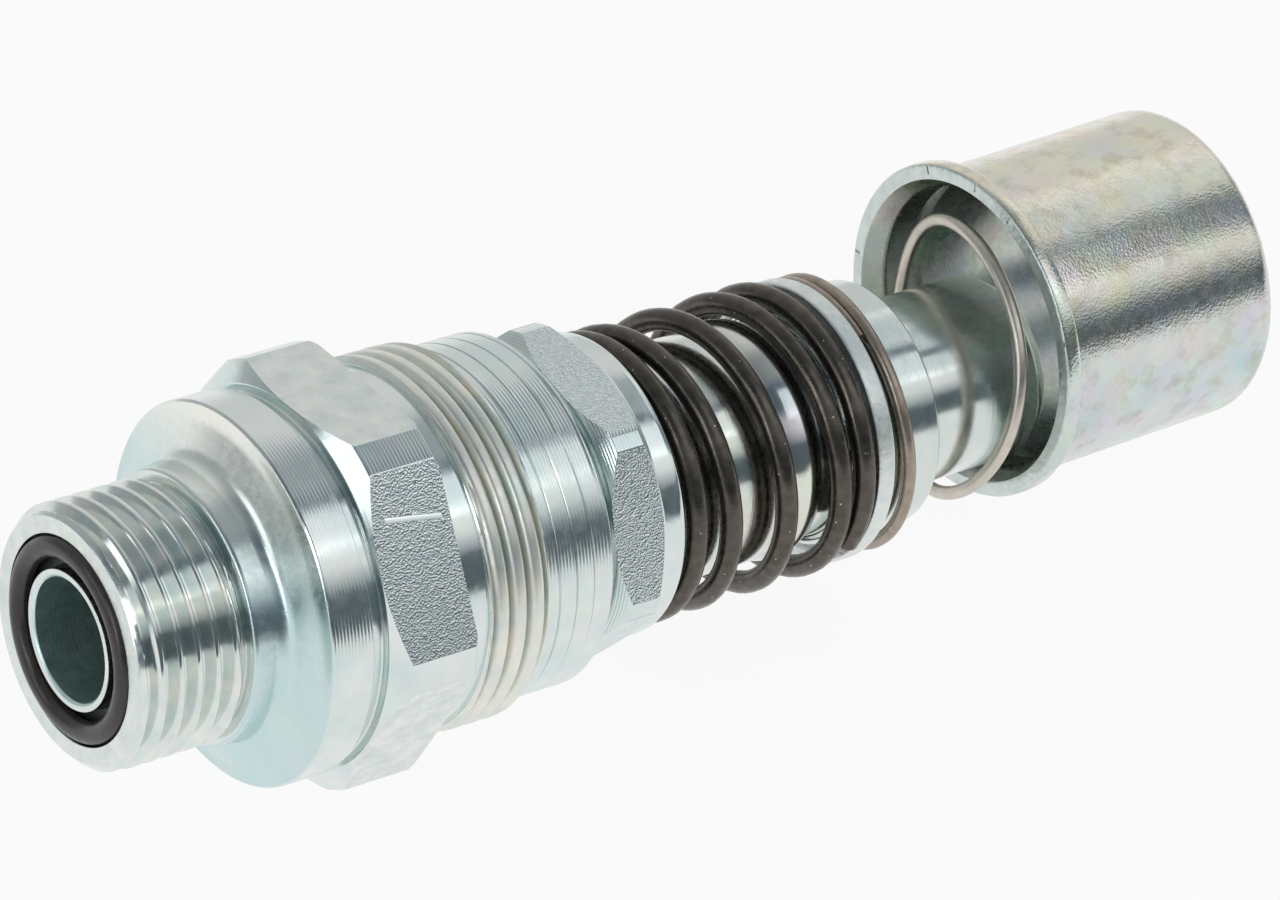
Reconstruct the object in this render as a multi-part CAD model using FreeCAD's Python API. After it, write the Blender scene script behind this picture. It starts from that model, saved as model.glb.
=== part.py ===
"""Hydraulic multi-coupler cartridge: face-seal port, threaded barrel, sprung nozzle and front sleeve.

Millimetres, +Z up. The cartridge's axis is X and the origin is the centre of the port's sealing face.
The nozzle points along +X, and one flat of the large hexagon faces straight down.
"""
import FreeCAD, Part
import math
import os

V = FreeCAD.Vector
AXIS = V(1, 0, 0)
ORIGIN = V(0, 0, 0)

# Fits and clearances
RUNNING_FIT = 0.05          # radial clearance of a sliding or screwed diameter
SEAT_GAP = 0.1              # clearance of a ring or seal in its groove
BODY_GAP = 0.3              # clearance between pieces that move apart
WIRE_SIDES = 8              # flat sides that stand for a wire's round section

# Port end: 13/16 inch, 16 threads per inch, with an O-ring in its face
port_thread_d = 20.5
port_thread_len = 8.5
port_thread_chamfer = 0.8
face_land_w = 2.15          # face outside the O-ring groove, with the thread's chamfer
face_groove_w = 2.65
face_groove_depth = 1.3
face_ring_wire = 1.78
port_lip_w = 0.65           # ring of face between the O-ring groove and the bore
port_bore_chamfer = 0.35
relief_depth = 0.75
relief_w = 0.85
bead_height = 0.45
bead_round = 0.4
bead_w = 2.95

# Collar and large hexagon
collar_step_w = 1.1         # from the bead's end to the collar's rim
collar_under_hex = 0.1
collar_edge = 0.3
collar_dish = 0.5
collar_fillet = 1.0
collar_land_w = 3.3
collar_groove_depth = 0.65
collar_groove_w = 1.2
hex_over_thread = 0.35      # flat of the large hexagon above the barrel thread
hex_corner_left = 1.6       # turned corner above the flat
hex_front_chamfer_w = 1.05
hex_length = 5.65
hex_back_chamfer_w = 0.3
hex_land_drop = 0.05

# Threaded barrel and its hollow
neck_depth = 0.6
neck_w = 2.5
barrel_thread_len = 5.2
barrel_thread_height = 0.8
barrel_thread_chamfer = 0.45
band_wall = 1.95
band_len = 6.65
band_edge = 0.35
chamber_air = 1.75          # room round the nozzle's tail for its stop ring
chamber_floor_w = 4.6       # from the collar's rim to the chamber's floor
seal_bore_step = 0.4
screw_bore_step = 0.5
seal_bore_len = 4.2

# Guide nut with the small hexagon
spigot_len = 9.55
nut_hex_wall = 1.7          # metal between the guide ring's groove and a flat
nut_hex_corner_left = 1.4
nut_hex_turn = 12.3         # degrees the small hexagon is screwed past the large one
nut_gap_w = 1.3
nut_gap_depth = 0.4
nut_front_chamfer_w = 1.0
nut_front_rise = 0.15
nut_hex_length = 2.5
nut_back_chamfer_w = 1.05
nut_collar_drop = 0.05
nut_collar_len = 2.3
nut_collar_round = 0.7
nut_bore_chamfer = 0.4
nut_seal_depth = 1.2
nut_seal_groove_w = 2.0
nut_seal_wall = 1.2

# Seals inside the guide nut
seal_groove_depth = 1.6
seal_groove_w = 3.4
seal_groove_start = 5.5
seal_ring_w = 1.9
backup_ring_w = 1.2
guide_groove_depth = 1.05
guide_groove_w = 3.2
guide_groove_wall = 0.9
wiper_groove_depth = 1.35
wiper_groove_w = 1.8
wiper_wall = 1.0
wiper_relief = 0.5

# Nozzle
nozzle_d = 18.5
nozzle_tail = 2.6           # length of nozzle past the guide nut, inside the chamber
nozzle_edge = 0.4
stop_wire = 1.4
stop_groove_depth = 0.45
stop_gap = 1.6
dip_depth = 0.3
dip_w = 1.4
shoulder_ring_rise = 0.35
shoulder_ring_w = 2.6
gutter_depth = 0.65
gutter_w = 3.0
land_rise = 0.6
land_edge = 0.4
land_w = 8.0
land_lead = 1.0             # from the land's start to the spring's seat
seat_step = 0.3             # shoulder of the land that the spring's seat rests on
flow_bore_d = 12.4
neck_wall = 1.25
neck_chamfer = 0.25
nose_step = 0.7
nose_w = 1.0
nozzle_len_past_land = 12.8
tail_bore_step = 0.4
tail_bore_len = 26.6
tip_bore_step = 1.2
tip_len = 5.2               # from the poppet's seat to the nozzle's end

# Main spring, its seat washer and the wire ring that lies round the land behind it
spring_len = 18.7
spring_wire = 1.8
spring_air = 0.0            # between the spring's coils and the land
spring_turns = 4.5
spring_closed_turns = 1.0
spring_start_angle = 30.0
washer_inset = 0.4          # washer's rim inside the spring's
washer_w = 1.6
washer_edge = 0.25
snap_wire = 1.1
snap_air = 0.25             # between the land and the wire ring
snap_setback = 2.4          # from the washer's back to the ring's centre
snap_gap_angle = -60.0
snap_normal = V(1.0, -0.055, 0.11)

# Poppet, guide and poppet spring
poppet_stem_d = 5.0
poppet_stem_tail = 2.5
poppet_head_len = 4.2
poppet_head_gap = 0.15
seat_gap = 0.12
poppet_face_recess = 0.2
poppet_seal_w = 1.0
poppet_seal_depth = 0.7
guide_w = 4.0
guide_hub_wall = 1.45
guide_windows = 3
guide_arm_w = 3.0
retainer_wire = 1.0
retainer_depth = 0.45
retainer_gap = 4.0
poppet_spring_wire = 1.0
poppet_spring_air = 1.2     # between the poppet's stem and its spring
poppet_spring_turns = 5.0

# Front sleeve and its loose snap ring, as they lie
sleeve_room = 1.5           # between the nozzle's land and the sleeve's bore
sleeve_wall = 1.2
sleeve_len = 22.0
sleeve_lip_rise = 1.05
sleeve_lip_w = 1.5
sleeve_lip_round = 0.45
sleeve_mouth_step = 1.0
sleeve_mouth_w = 1.6
sleeve_end_round = 1.0
sleeve_end_wall = 2.4
sleeve_end_ledge = 2.85
sleeve_groove_depth = 0.45
sleeve_groove_w = 1.4
sleeve_groove_start = 4.0
sleeve_lap = 2.9            # how far the nozzle's end reaches into the sleeve
sleeve_air = 1.55           # least room between the nozzle's neck and the sleeve's mouth
sleeve_lean = 72.6          # degrees from +Y, the way the sleeve lies off the axis
sleeve_pitch = 1.4          # degrees the sleeve's far end lies above the nozzle's axis
sleeve_yaw = 0.8            # degrees it lies to the back
loose_wire = 1.1
loose_slack = 1.1           # how much smaller the ring is than its groove in the sleeve
loose_gap_angle = -35.0
loose_air = 1.11            # least room between the nozzle's neck and the ring
loose_lean = 77.3
loose_setback = 1.35        # from the sleeve's mouth back to the ring's centre
loose_normal = V(1.0, -0.26, -0.09)
loose_bow = 0.65            # how far the sprung ring bows out of its own plane
loose_bow_angle = -16.0

# Diameters worked out from the sizes above
face_groove_od = port_thread_d - 2 * face_land_w
face_groove_id = face_groove_od - 2 * face_groove_w
port_bore_d = face_groove_id - 2 * port_lip_w
relief_d = port_thread_d - 2 * relief_depth
bead_d = port_thread_d + 2 * bead_height
chamber_d = nozzle_d + 2 * chamber_air
seal_bore_d = chamber_d + 2 * seal_bore_step
screw_bore_d = seal_bore_d + 2 * screw_bore_step
band_d = screw_bore_d + 2 * band_wall
barrel_thread_d = band_d + 2 * barrel_thread_height
neck_d = barrel_thread_d - 2 * neck_depth
hex_flats = barrel_thread_d + 2 * hex_over_thread
hex_turned_d = hex_flats + 2 * hex_corner_left
hex_land_d = hex_flats - 2 * hex_land_drop
collar_d = hex_flats - 2 * collar_under_hex
collar_groove_d = collar_d - 2 * collar_groove_depth
nut_bore_d = nozzle_d + 2 * RUNNING_FIT
seal_groove_d = nozzle_d + 2 * seal_groove_depth
guide_groove_d = nozzle_d + 2 * guide_groove_depth
wiper_groove_d = nozzle_d + 2 * wiper_groove_depth
nut_hex_flats = guide_groove_d + 2 * nut_hex_wall
nut_hex_turned_d = nut_hex_flats + 2 * nut_hex_corner_left
nut_front_d = nut_hex_flats + 2 * nut_front_rise
nut_collar_d = nut_hex_flats - 2 * nut_collar_drop
nut_gap_d = screw_bore_d - 2 * nut_gap_depth
nut_seal_groove_d = seal_bore_d - 2 * nut_seal_depth
dip_d = nozzle_d - 2 * dip_depth
shoulder_ring_d = nozzle_d + 2 * shoulder_ring_rise
gutter_d = nozzle_d - 2 * gutter_depth
land_d = nozzle_d + 2 * land_rise
neck_tube_d = flow_bore_d + 2 * neck_wall
nose_d = neck_tube_d - 2 * nose_step
tail_bore_d = flow_bore_d + 2 * tail_bore_step
tip_bore_d = flow_bore_d - 2 * tip_bore_step
spring_mean_d = land_d + 2 * spring_air + spring_wire
washer_d = spring_mean_d + spring_wire - 2 * washer_inset
seat_d = land_d - 2 * seat_step
washer_bore_d = seat_d + 2 * RUNNING_FIT
stop_mean_d = nozzle_d - 2 * stop_groove_depth + stop_wire
snap_mean_d = land_d + 2 * snap_air + snap_wire
guide_hub_d = poppet_stem_d + 2 * RUNNING_FIT + 2 * guide_hub_wall
poppet_spring_mean_d = poppet_stem_d + 2 * poppet_spring_air + poppet_spring_wire
sleeve_bore_d = land_d + 2 * sleeve_room
sleeve_d = sleeve_bore_d + 2 * sleeve_wall
sleeve_lip_d = sleeve_d + 2 * sleeve_lip_rise
sleeve_mouth_d = sleeve_bore_d + 2 * sleeve_mouth_step
sleeve_end_hole_d = sleeve_bore_d - 2 * sleeve_end_ledge
sleeve_groove_d = sleeve_bore_d + 2 * sleeve_groove_depth
loose_d = sleeve_groove_d - loose_wire - loose_slack

# Stations along the axis worked out from the lengths above
relief_start = port_thread_len
bead_start = relief_start + relief_w
bead_end = bead_start + bead_w
collar_front = bead_end + collar_step_w
collar_land_end = collar_front + collar_edge + collar_land_w
cone_start = collar_land_end + collar_groove_w
hex_start = cone_start + hex_front_chamfer_w
hex_end = hex_start + hex_length
hex_back = hex_end + hex_back_chamfer_w
barrel_start = hex_back + neck_w
barrel_thread_end = barrel_start + barrel_thread_len
barrel_end = barrel_thread_end + band_len
chamber_floor = collar_front + chamber_floor_w
nut_seat = barrel_end - spigot_len
seal_bore_end = nut_seat + seal_bore_len
nut_hex_front = barrel_end + nut_gap_w
nut_hex_start = nut_hex_front + nut_front_chamfer_w
nut_hex_end = nut_hex_start + nut_hex_length
nut_collar_start = nut_hex_end + nut_back_chamfer_w
nut_end = nut_collar_start + nut_collar_len
seal_groove_at = nut_seat + seal_groove_start
wiper_groove_at = nut_end - wiper_wall - wiper_groove_w
guide_groove_at = wiper_groove_at - guide_groove_wall - guide_groove_w
nozzle_start = nut_seat - nozzle_tail
stop_centre = nut_seat - BODY_GAP - stop_wire / 2
washer_face = nut_end + spring_len
washer_back = washer_face + washer_w
seat_shoulder = washer_back + SEAT_GAP / 2
snap_at = V(washer_back + snap_setback, 0, 0)
land_start = washer_face - land_lead
land_end = land_start + land_w
shoulder_ring_end = land_start - gutter_w
nozzle_end = land_end + nozzle_len_past_land
guide_step = nozzle_start + tail_bore_len
guide_start = guide_step - guide_w
retainer_centre = guide_start - SEAT_GAP / 2 - retainer_wire / 2
seat_start = nozzle_end - tip_len
seat_len = (flow_bore_d - tip_bore_d) / 2
head_back = seat_start - poppet_head_len


def off_axis(x, distance, angle):
    """Point that lies a distance off the axis, at an angle in degrees from +Y towards +Z."""
    return V(x, distance * math.cos(math.radians(angle)), distance * math.sin(math.radians(angle)))


sleeve_x = nozzle_end - sleeve_lap
sleeve_at = off_axis(sleeve_x, (sleeve_mouth_d - neck_tube_d) / 2 - sleeve_air, sleeve_lean)
loose_at = off_axis(sleeve_x - loose_setback, (loose_d - loose_wire - neck_tube_d) / 2 - loose_air, loose_lean)


def outline_edges(points):
    """Edges through (x, radius) points; a pair of points is an arc by way of the first to the second."""
    edges = []
    last = points[0]
    for item in list(points[1:]) + [points[0]]:
        start = V(last[0], 0, last[1])
        if isinstance(item[0], tuple):
            middle, end = item
            edges.append(Part.Arc(start, V(middle[0], 0, middle[1]), V(end[0], 0, end[1])).toShape())
            last = end
        else:
            edges.append(Part.LineSegment(start, V(item[0], 0, item[1])).toShape())
            last = item
    return edges


def lathe(points):
    """Solid turned about the X axis from a closed (x, radius) outline."""
    face = Part.Face(Part.Wire(outline_edges(points)))
    return face.revolve(ORIGIN, AXIS, 360)


def bulge(start, end, height):
    """Arc from one outline point to another, raised sideways by height (left of the way is positive)."""
    dx = end[0] - start[0]
    dr = end[1] - start[1]
    span = math.hypot(dx, dr)
    middle = ((start[0] + end[0]) / 2 - height * dr / span, (start[1] + end[1]) / 2 + height * dx / span)
    return (middle, end)


def quarter_round(start, end, hollow=False):
    """Quarter ellipse-like arc between two outline points, bulging outward or hollow."""
    span = math.hypot(end[0] - start[0], end[1] - start[1])
    height = span * (math.sqrt(2) - 1) / 2
    return bulge(start, end, -height if hollow else height)


def eased(start, end, hollow=False):
    """Small rounded corner between two outline points, drawn as two flats."""
    middle = quarter_round(start, end, hollow)[0]
    return [middle, end]


def tube(x_start, x_end, inner_d, outer_d):
    """Plain ring about the X axis."""
    return lathe([(x_start, inner_d / 2), (x_start, outer_d / 2), (x_end, outer_d / 2), (x_end, inner_d / 2)])


def rounded_ring(x_start, x_end, inner_d, outer_d, edge):
    """Ring about the X axis with its four edges eased, as a seated elastomer ring has."""
    low = inner_d / 2
    high = outer_d / 2
    return lathe([
        (x_start, low + edge), (x_start, high - edge), (x_start + edge, high), (x_end - edge, high),
        (x_end, high - edge), (x_end, low + edge), (x_end - edge, low), (x_start + edge, low)])


def hexagon_cutter(flats, x_start, x_end, turn):
    """Ring of waste outside a hexagonal prism along X, one flat facing down before the turn in degrees."""
    corner = flats / math.sqrt(3)
    points = []
    for step in range(7):
        angle = math.radians(60 * step + turn)
        points.append(V(x_start, corner * math.cos(angle), corner * math.sin(angle)))
    prism = Part.Face(Part.makePolygon(points)).extrude(V(x_end - x_start, 0, 0))
    blank = Part.makeCylinder(flats, x_end - x_start, V(x_start, 0, 0), AXIS)
    return blank.cut(prism)


def wire_section(centre, across, third, wire_d):
    """Wire's round section about a point, drawn with flat sides, as a closed polygon."""
    corners = []
    for step in range(WIRE_SIDES + 1):
        angle = math.radians(360 * (step + 0.5) / WIRE_SIDES)
        corners.append(centre + across * (wire_d / 2 * math.cos(angle)) + third * (wire_d / 2 * math.sin(angle)))
    return Part.makePolygon(corners)


def wire_ring(x_centre, mean_d, wire_d, gap, gap_angle):
    """Round-wire ring about the X axis; gap is the opening's width (none at 0) and gap_angle its place from +Y."""
    radius = mean_d / 2
    half = math.degrees(gap / 2 / radius)
    section = Part.Face(wire_section(V(x_centre, radius, 0), AXIS, V(0, 1, 0), wire_d))
    section.rotate(ORIGIN, AXIS, gap_angle + half)
    return section.revolve(ORIGIN, AXIS, 360 - 2 * half)


def swept_wire(points, wire_d):
    """Wire along a smooth curve through the points."""
    curve = Part.BSplineCurve()
    curve.interpolate(points)
    path = Part.Wire(curve.toShape())
    along = curve.tangent(curve.FirstParameter)[0]
    across = along.cross(AXIS).normalize()
    third = across.cross(along).normalize()
    return path.makePipeShell([wire_section(points[0], across, third, wire_d)], True, True)


def leaning_ring(centre, mean_d, wire_d, normal, gap_angle, bow, bow_angle):
    """Open wire ring about a point; it faces along normal and bows out of its own plane."""
    steps = 24
    radius = mean_d / 2
    half = math.degrees(wire_d / radius)
    turn = FreeCAD.Rotation(AXIS, normal)
    points = []
    for step in range(steps + 1):
        angle = gap_angle + half + (360 - 2 * half) * step / steps
        lift = bow * math.cos(math.radians(2 * (angle - bow_angle)))
        flat = V(lift, radius * math.cos(math.radians(angle)), radius * math.sin(math.radians(angle)))
        points.append(centre + turn.multVec(flat))
    return swept_wire(points, wire_d)


def coil_spring(x_start, x_end, mean_d, wire_d, turns, closed_turns, start_angle):
    """Right-hand compression spring between two planes, with closed end coils."""
    steps_per_turn = 12
    closed_pitch = wire_d + BODY_GAP / 4
    rise = x_end - x_start - wire_d
    active_pitch = (rise - 2 * closed_turns * closed_pitch) / (turns - 2 * closed_turns)
    count = int(round(turns * steps_per_turn))
    points = []
    for step in range(count + 1):
        turn = turns * step / count
        from_end = turns - turn
        if turn <= closed_turns:
            x = turn * closed_pitch
        elif from_end <= closed_turns:
            x = rise - from_end * closed_pitch
        else:
            x = closed_turns * closed_pitch + (turn - closed_turns) * active_pitch
        angle = math.radians(start_angle + 360 * turn)
        centre = x_start + wire_d / 2 + x
        points.append(V(centre, mean_d / 2 * math.cos(angle), mean_d / 2 * math.sin(angle)))
    return swept_wire(points, wire_d)


def groove(x_centre, width, inner_d, outer_d):
    """Waste ring of a turned groove."""
    return tube(x_centre - width / 2, x_centre + width / 2, inner_d, outer_d)


def make_port_body():
    """Turned body: sealing face, port thread, collar, large hexagon, threaded barrel and its hollow."""
    thread_r = port_thread_d / 2
    collar_r = collar_d / 2
    turned_r = hex_turned_d / 2
    barrel_r = barrel_thread_d / 2
    band_r = band_d / 2
    bead_r = bead_d / 2
    body = lathe([
        (0, port_bore_d / 2 + port_bore_chamfer),
        (0, thread_r - port_thread_chamfer),
        (port_thread_chamfer, thread_r),
        (relief_start, thread_r),
        (relief_start + (thread_r - relief_d / 2), relief_d / 2),
        (bead_start, relief_d / 2),
        (bead_start, bead_r - bead_round),
        *eased((bead_start, bead_r - bead_round), (bead_start + bead_round, bead_r)),
        (bead_end - collar_fillet, bead_r),
        quarter_round((bead_end - collar_fillet, bead_r), (bead_end, bead_r + collar_fillet), hollow=True),
        (collar_front + collar_dish - collar_edge, collar_r - collar_edge - collar_dish),
        (collar_front, collar_r - collar_edge),
        (collar_front + collar_edge, collar_r),
        (collar_land_end, collar_r),
        (collar_land_end, collar_groove_d / 2),
        (cone_start, collar_groove_d / 2),
        (cone_start, hex_land_d / 2),
        (hex_start, turned_r),
        (hex_end, turned_r),
        (hex_back, turned_r - hex_back_chamfer_w),
        (hex_back, neck_d / 2),
        (barrel_start, neck_d / 2),
        (barrel_start, barrel_r - barrel_thread_chamfer),
        (barrel_start + barrel_thread_chamfer, barrel_r),
        (barrel_thread_end, barrel_r),
        (barrel_thread_end + (barrel_r - band_r) / 2, band_r),
        (barrel_end - band_edge, band_r),
        (barrel_end, band_r - band_edge),
        (barrel_end, screw_bore_d / 2 + band_edge),
        (barrel_end - band_edge, screw_bore_d / 2),
        (seal_bore_end, screw_bore_d / 2),
        (seal_bore_end - (screw_bore_d - seal_bore_d) / 2, seal_bore_d / 2),
        (nut_seat, seal_bore_d / 2),
        (nut_seat, chamber_d / 2),
        (chamber_floor, chamber_d / 2),
        (chamber_floor, port_bore_d / 2),
        (port_bore_chamfer, port_bore_d / 2),
    ])
    body = body.cut(tube(0, face_groove_depth, face_groove_id, face_groove_od))
    return body.cut(hexagon_cutter(hex_flats, cone_start, hex_back, 0))


def make_face_seal_ring():
    """O-ring that stands a little proud of the port's face."""
    mean_r = face_groove_od / 2 - face_ring_wire / 2 - SEAT_GAP
    centre = face_groove_depth - face_ring_wire / 2 - SEAT_GAP / 4
    return wire_ring(centre, 2 * mean_r, face_ring_wire, 0, 0)


def make_guide_nut():
    """Guide nut: screwed spigot with a seal groove, small hexagon, collar and the nozzle's bore."""
    spigot_r = screw_bore_d / 2 - RUNNING_FIT
    pilot_r = seal_bore_d / 2 - RUNNING_FIT
    turned_r = nut_hex_turned_d / 2
    collar_r = nut_collar_d / 2
    bore_r = nut_bore_d / 2
    nut = lathe([
        (nut_seat, bore_r + nut_bore_chamfer),
        (nut_seat, pilot_r),
        (seal_bore_end, pilot_r),
        (seal_bore_end + RUNNING_FIT, spigot_r),
        (barrel_end - band_edge, spigot_r),
        (barrel_end, nut_gap_d / 2),
        (nut_hex_front, nut_gap_d / 2),
        (nut_hex_front, nut_front_d / 2),
        (nut_hex_start, turned_r),
        (nut_hex_end, turned_r),
        (nut_collar_start, collar_r),
        (nut_end - nut_collar_round, collar_r),
        *eased((nut_end - nut_collar_round, collar_r), (nut_end, collar_r - nut_collar_round)),
        (nut_end, bore_r + nut_bore_chamfer),
        (nut_end - nut_bore_chamfer, bore_r),
        (nut_seat + nut_bore_chamfer, bore_r),
    ])
    nut = nut.cut(hexagon_cutter(nut_hex_flats, nut_hex_front, nut_collar_start, nut_hex_turn))
    seal_start = nut_seat + nut_seal_wall
    nut = nut.cut(tube(seal_start, seal_start + nut_seal_groove_w, nut_seal_groove_d, screw_bore_d))
    inner_grooves = (
        (seal_groove_at, seal_groove_w, seal_groove_d),
        (guide_groove_at, guide_groove_w, guide_groove_d),
        (wiper_groove_at, wiper_groove_w, wiper_groove_d),
    )
    for start, width, depth_d in inner_grooves:
        nut = nut.cut(tube(start, start + width, nut_bore_d - 2 * BODY_GAP, depth_d))
    return nut


def make_nut_seal_ring():
    """O-ring between the guide nut's spigot and the barrel."""
    start = nut_seat + nut_seal_wall + SEAT_GAP
    end = start + nut_seal_groove_w - 2 * SEAT_GAP
    outer_d = seal_bore_d - RUNNING_FIT
    return rounded_ring(start, end, nut_seal_groove_d + RUNNING_FIT, outer_d, (end - start) / 4)


def make_nozzle_seal_ring():
    """O-ring that seals on the polished nozzle."""
    start = seal_groove_at + SEAT_GAP
    return rounded_ring(start, start + seal_ring_w, nut_bore_d, seal_groove_d - SEAT_GAP, seal_ring_w / 4)


def make_nozzle_backup_ring():
    """Hard back-up ring beside the nozzle's O-ring."""
    end = seal_groove_at + seal_groove_w - SEAT_GAP / 2
    return tube(end - backup_ring_w, end, nut_bore_d, seal_groove_d - SEAT_GAP)


def make_nozzle_guide_ring():
    """Wear ring that the nozzle slides in."""
    start = guide_groove_at + SEAT_GAP / 2
    return tube(start, start + guide_groove_w - SEAT_GAP, nut_bore_d, guide_groove_d - SEAT_GAP)


def make_nozzle_wiper_ring():
    """Wiper with one feathered lip towards the open side."""
    start = wiper_groove_at + SEAT_GAP / 2
    end = start + wiper_groove_w - SEAT_GAP
    low = nut_bore_d / 2
    high = (wiper_groove_d - SEAT_GAP) / 2
    return lathe([
        (start, low + wiper_relief), (start, high), (end, high), (end, low + wiper_relief),
        (end - wiper_relief / 2, low), (end - wiper_relief, low)])


def make_nozzle_tube():
    """Nozzle: polished barrel, shoulder ring, land, neck, nose and the flow bore."""
    barrel_r = nozzle_d / 2
    ring_r = shoulder_ring_d / 2
    land_r = land_d / 2
    neck_r = neck_tube_d / 2
    nose_r = nose_d / 2
    nose_start = nozzle_end - nose_w
    ring_start = shoulder_ring_end - shoulder_ring_w
    dip_start = ring_start - dip_w
    tube_body = lathe([
        (nozzle_start, tail_bore_d / 2 + nozzle_edge),
        (nozzle_start, barrel_r - nozzle_edge),
        (nozzle_start + nozzle_edge, barrel_r),
        (dip_start, barrel_r),
        bulge((dip_start, barrel_r), (ring_start, barrel_r), -(nozzle_d - dip_d) / 2),
        bulge((ring_start, barrel_r), (shoulder_ring_end, ring_r - nozzle_edge), (ring_r - barrel_r + nozzle_edge) / 2),
        (shoulder_ring_end, gutter_d / 2),
        (land_start, gutter_d / 2),
        (land_start, seat_d / 2 - land_edge),
        (land_start + land_edge, seat_d / 2),
        (seat_shoulder, seat_d / 2),
        (seat_shoulder, land_r),
        (land_end - land_edge / 2, land_r),
        (land_end, land_r - land_edge / 2),
        (land_end, neck_r),
        (nose_start - neck_chamfer, neck_r),
        (nose_start, neck_r - neck_chamfer),
        (nose_start, nose_r),
        (nozzle_end - nozzle_edge / 2, nose_r),
        (nozzle_end, nose_r - nozzle_edge / 2),
        (nozzle_end, tip_bore_d / 2 + nozzle_edge / 2),
        (nozzle_end - nozzle_edge / 2, tip_bore_d / 2),
        (seat_start + seat_len, tip_bore_d / 2),
        (seat_start, flow_bore_d / 2),
        (guide_step, flow_bore_d / 2),
        (guide_step, tail_bore_d / 2),
        (nozzle_start + nozzle_edge, tail_bore_d / 2),
    ])
    tube_body = tube_body.cut(
        groove(stop_centre, stop_wire + SEAT_GAP, nozzle_d - 2 * stop_groove_depth - SEAT_GAP, collar_d))
    return tube_body.cut(
        groove(retainer_centre, retainer_wire + SEAT_GAP, poppet_stem_d,
               tail_bore_d + 2 * retainer_depth + SEAT_GAP))


def make_nozzle_stop_ring():
    """Wire ring behind the guide nut that keeps the spring from pushing the nozzle out."""
    return wire_ring(stop_centre, stop_mean_d, stop_wire, stop_gap, -90)


def make_main_spring():
    """Compression spring between the guide nut and the seat washer."""
    return coil_spring(
        nut_end, washer_face, spring_mean_d, spring_wire, spring_turns,
        spring_closed_turns, spring_start_angle)


def make_spring_seat_washer():
    """Washer that the spring bears on; it rests on the land's shoulder."""
    outer_r = washer_d / 2
    bore_r = washer_bore_d / 2
    return lathe([
        (washer_face, bore_r + washer_edge),
        (washer_face, outer_r - washer_edge),
        (washer_face + washer_edge, outer_r),
        (washer_back - washer_edge, outer_r),
        (washer_back, outer_r - washer_edge),
        (washer_back, bore_r),
        (washer_face + washer_edge, bore_r),
    ])


def make_seat_snap_ring():
    """Open wire ring that leans round the nozzle's land, behind the washer."""
    return leaning_ring(snap_at, snap_mean_d, snap_wire, snap_normal, snap_gap_angle, 0, 0)


def make_poppet_guide():
    """Spider that guides the poppet's stem and lets the oil past its arms."""
    outer_d = tail_bore_d - 2 * RUNNING_FIT
    bore_d = poppet_stem_d + 2 * RUNNING_FIT
    rim_inner_d = outer_d - (tail_bore_d - flow_bore_d) - 2 * retainer_depth
    guide = tube(guide_start, guide_step, bore_d, outer_d)
    windows = tube(guide_start, guide_step, guide_hub_d, rim_inner_d)
    for step in range(guide_windows):
        arm = Part.makeBox(guide_w, outer_d / 2, guide_arm_w, V(guide_start, 0, -guide_arm_w / 2))
        arm.rotate(ORIGIN, AXIS, 90 + 360 * step / guide_windows)
        windows = windows.cut(arm)
    return guide.cut(windows)


def make_guide_retaining_ring():
    """Wire ring inside the nozzle's tail that holds the guide against its step."""
    mean_d = tail_bore_d + 2 * retainer_depth - retainer_wire
    return wire_ring(retainer_centre, mean_d, retainer_wire, retainer_gap, 90)


def make_poppet_spring():
    """Spring that holds the poppet on its seat."""
    return coil_spring(
        guide_step, head_back, poppet_spring_mean_d, poppet_spring_wire, poppet_spring_turns,
        spring_closed_turns, 0)


def poppet_seal_outline():
    """Outline of the seal on the poppet's cone, as (x, radius) points."""
    head_r = flow_bore_d / 2 - poppet_head_gap
    end = seat_start - seat_gap
    return [
        (end - poppet_seal_w, head_r - poppet_seal_depth), (end - poppet_seal_w, head_r),
        (end, head_r), (end, head_r - poppet_seal_depth)]


def make_poppet():
    """Flat-faced poppet: stem, head with a seal groove, cone and the nose that closes the tip."""
    head_r = flow_bore_d / 2 - poppet_head_gap
    nose_r = tip_bore_d / 2 - poppet_head_gap
    cone_start_x = seat_start - seat_gap
    cone_end_x = cone_start_x + head_r - nose_r
    stem_start = guide_start - poppet_stem_tail
    face = nozzle_end - poppet_face_recess
    poppet = lathe([
        (stem_start, 0),
        (stem_start, poppet_stem_d / 2 - nozzle_edge),
        (stem_start + nozzle_edge, poppet_stem_d / 2),
        (head_back, poppet_stem_d / 2),
        (head_back, head_r),
        (cone_start_x, head_r),
        (cone_end_x, nose_r),
        (face - nozzle_edge / 2, nose_r),
        (face, nose_r - nozzle_edge / 2),
        (face, 0),
    ])
    return poppet.cut(lathe(poppet_seal_outline()))


def make_poppet_seal_ring():
    """Seal ring in the poppet head's groove."""
    return lathe(poppet_seal_outline())


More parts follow.
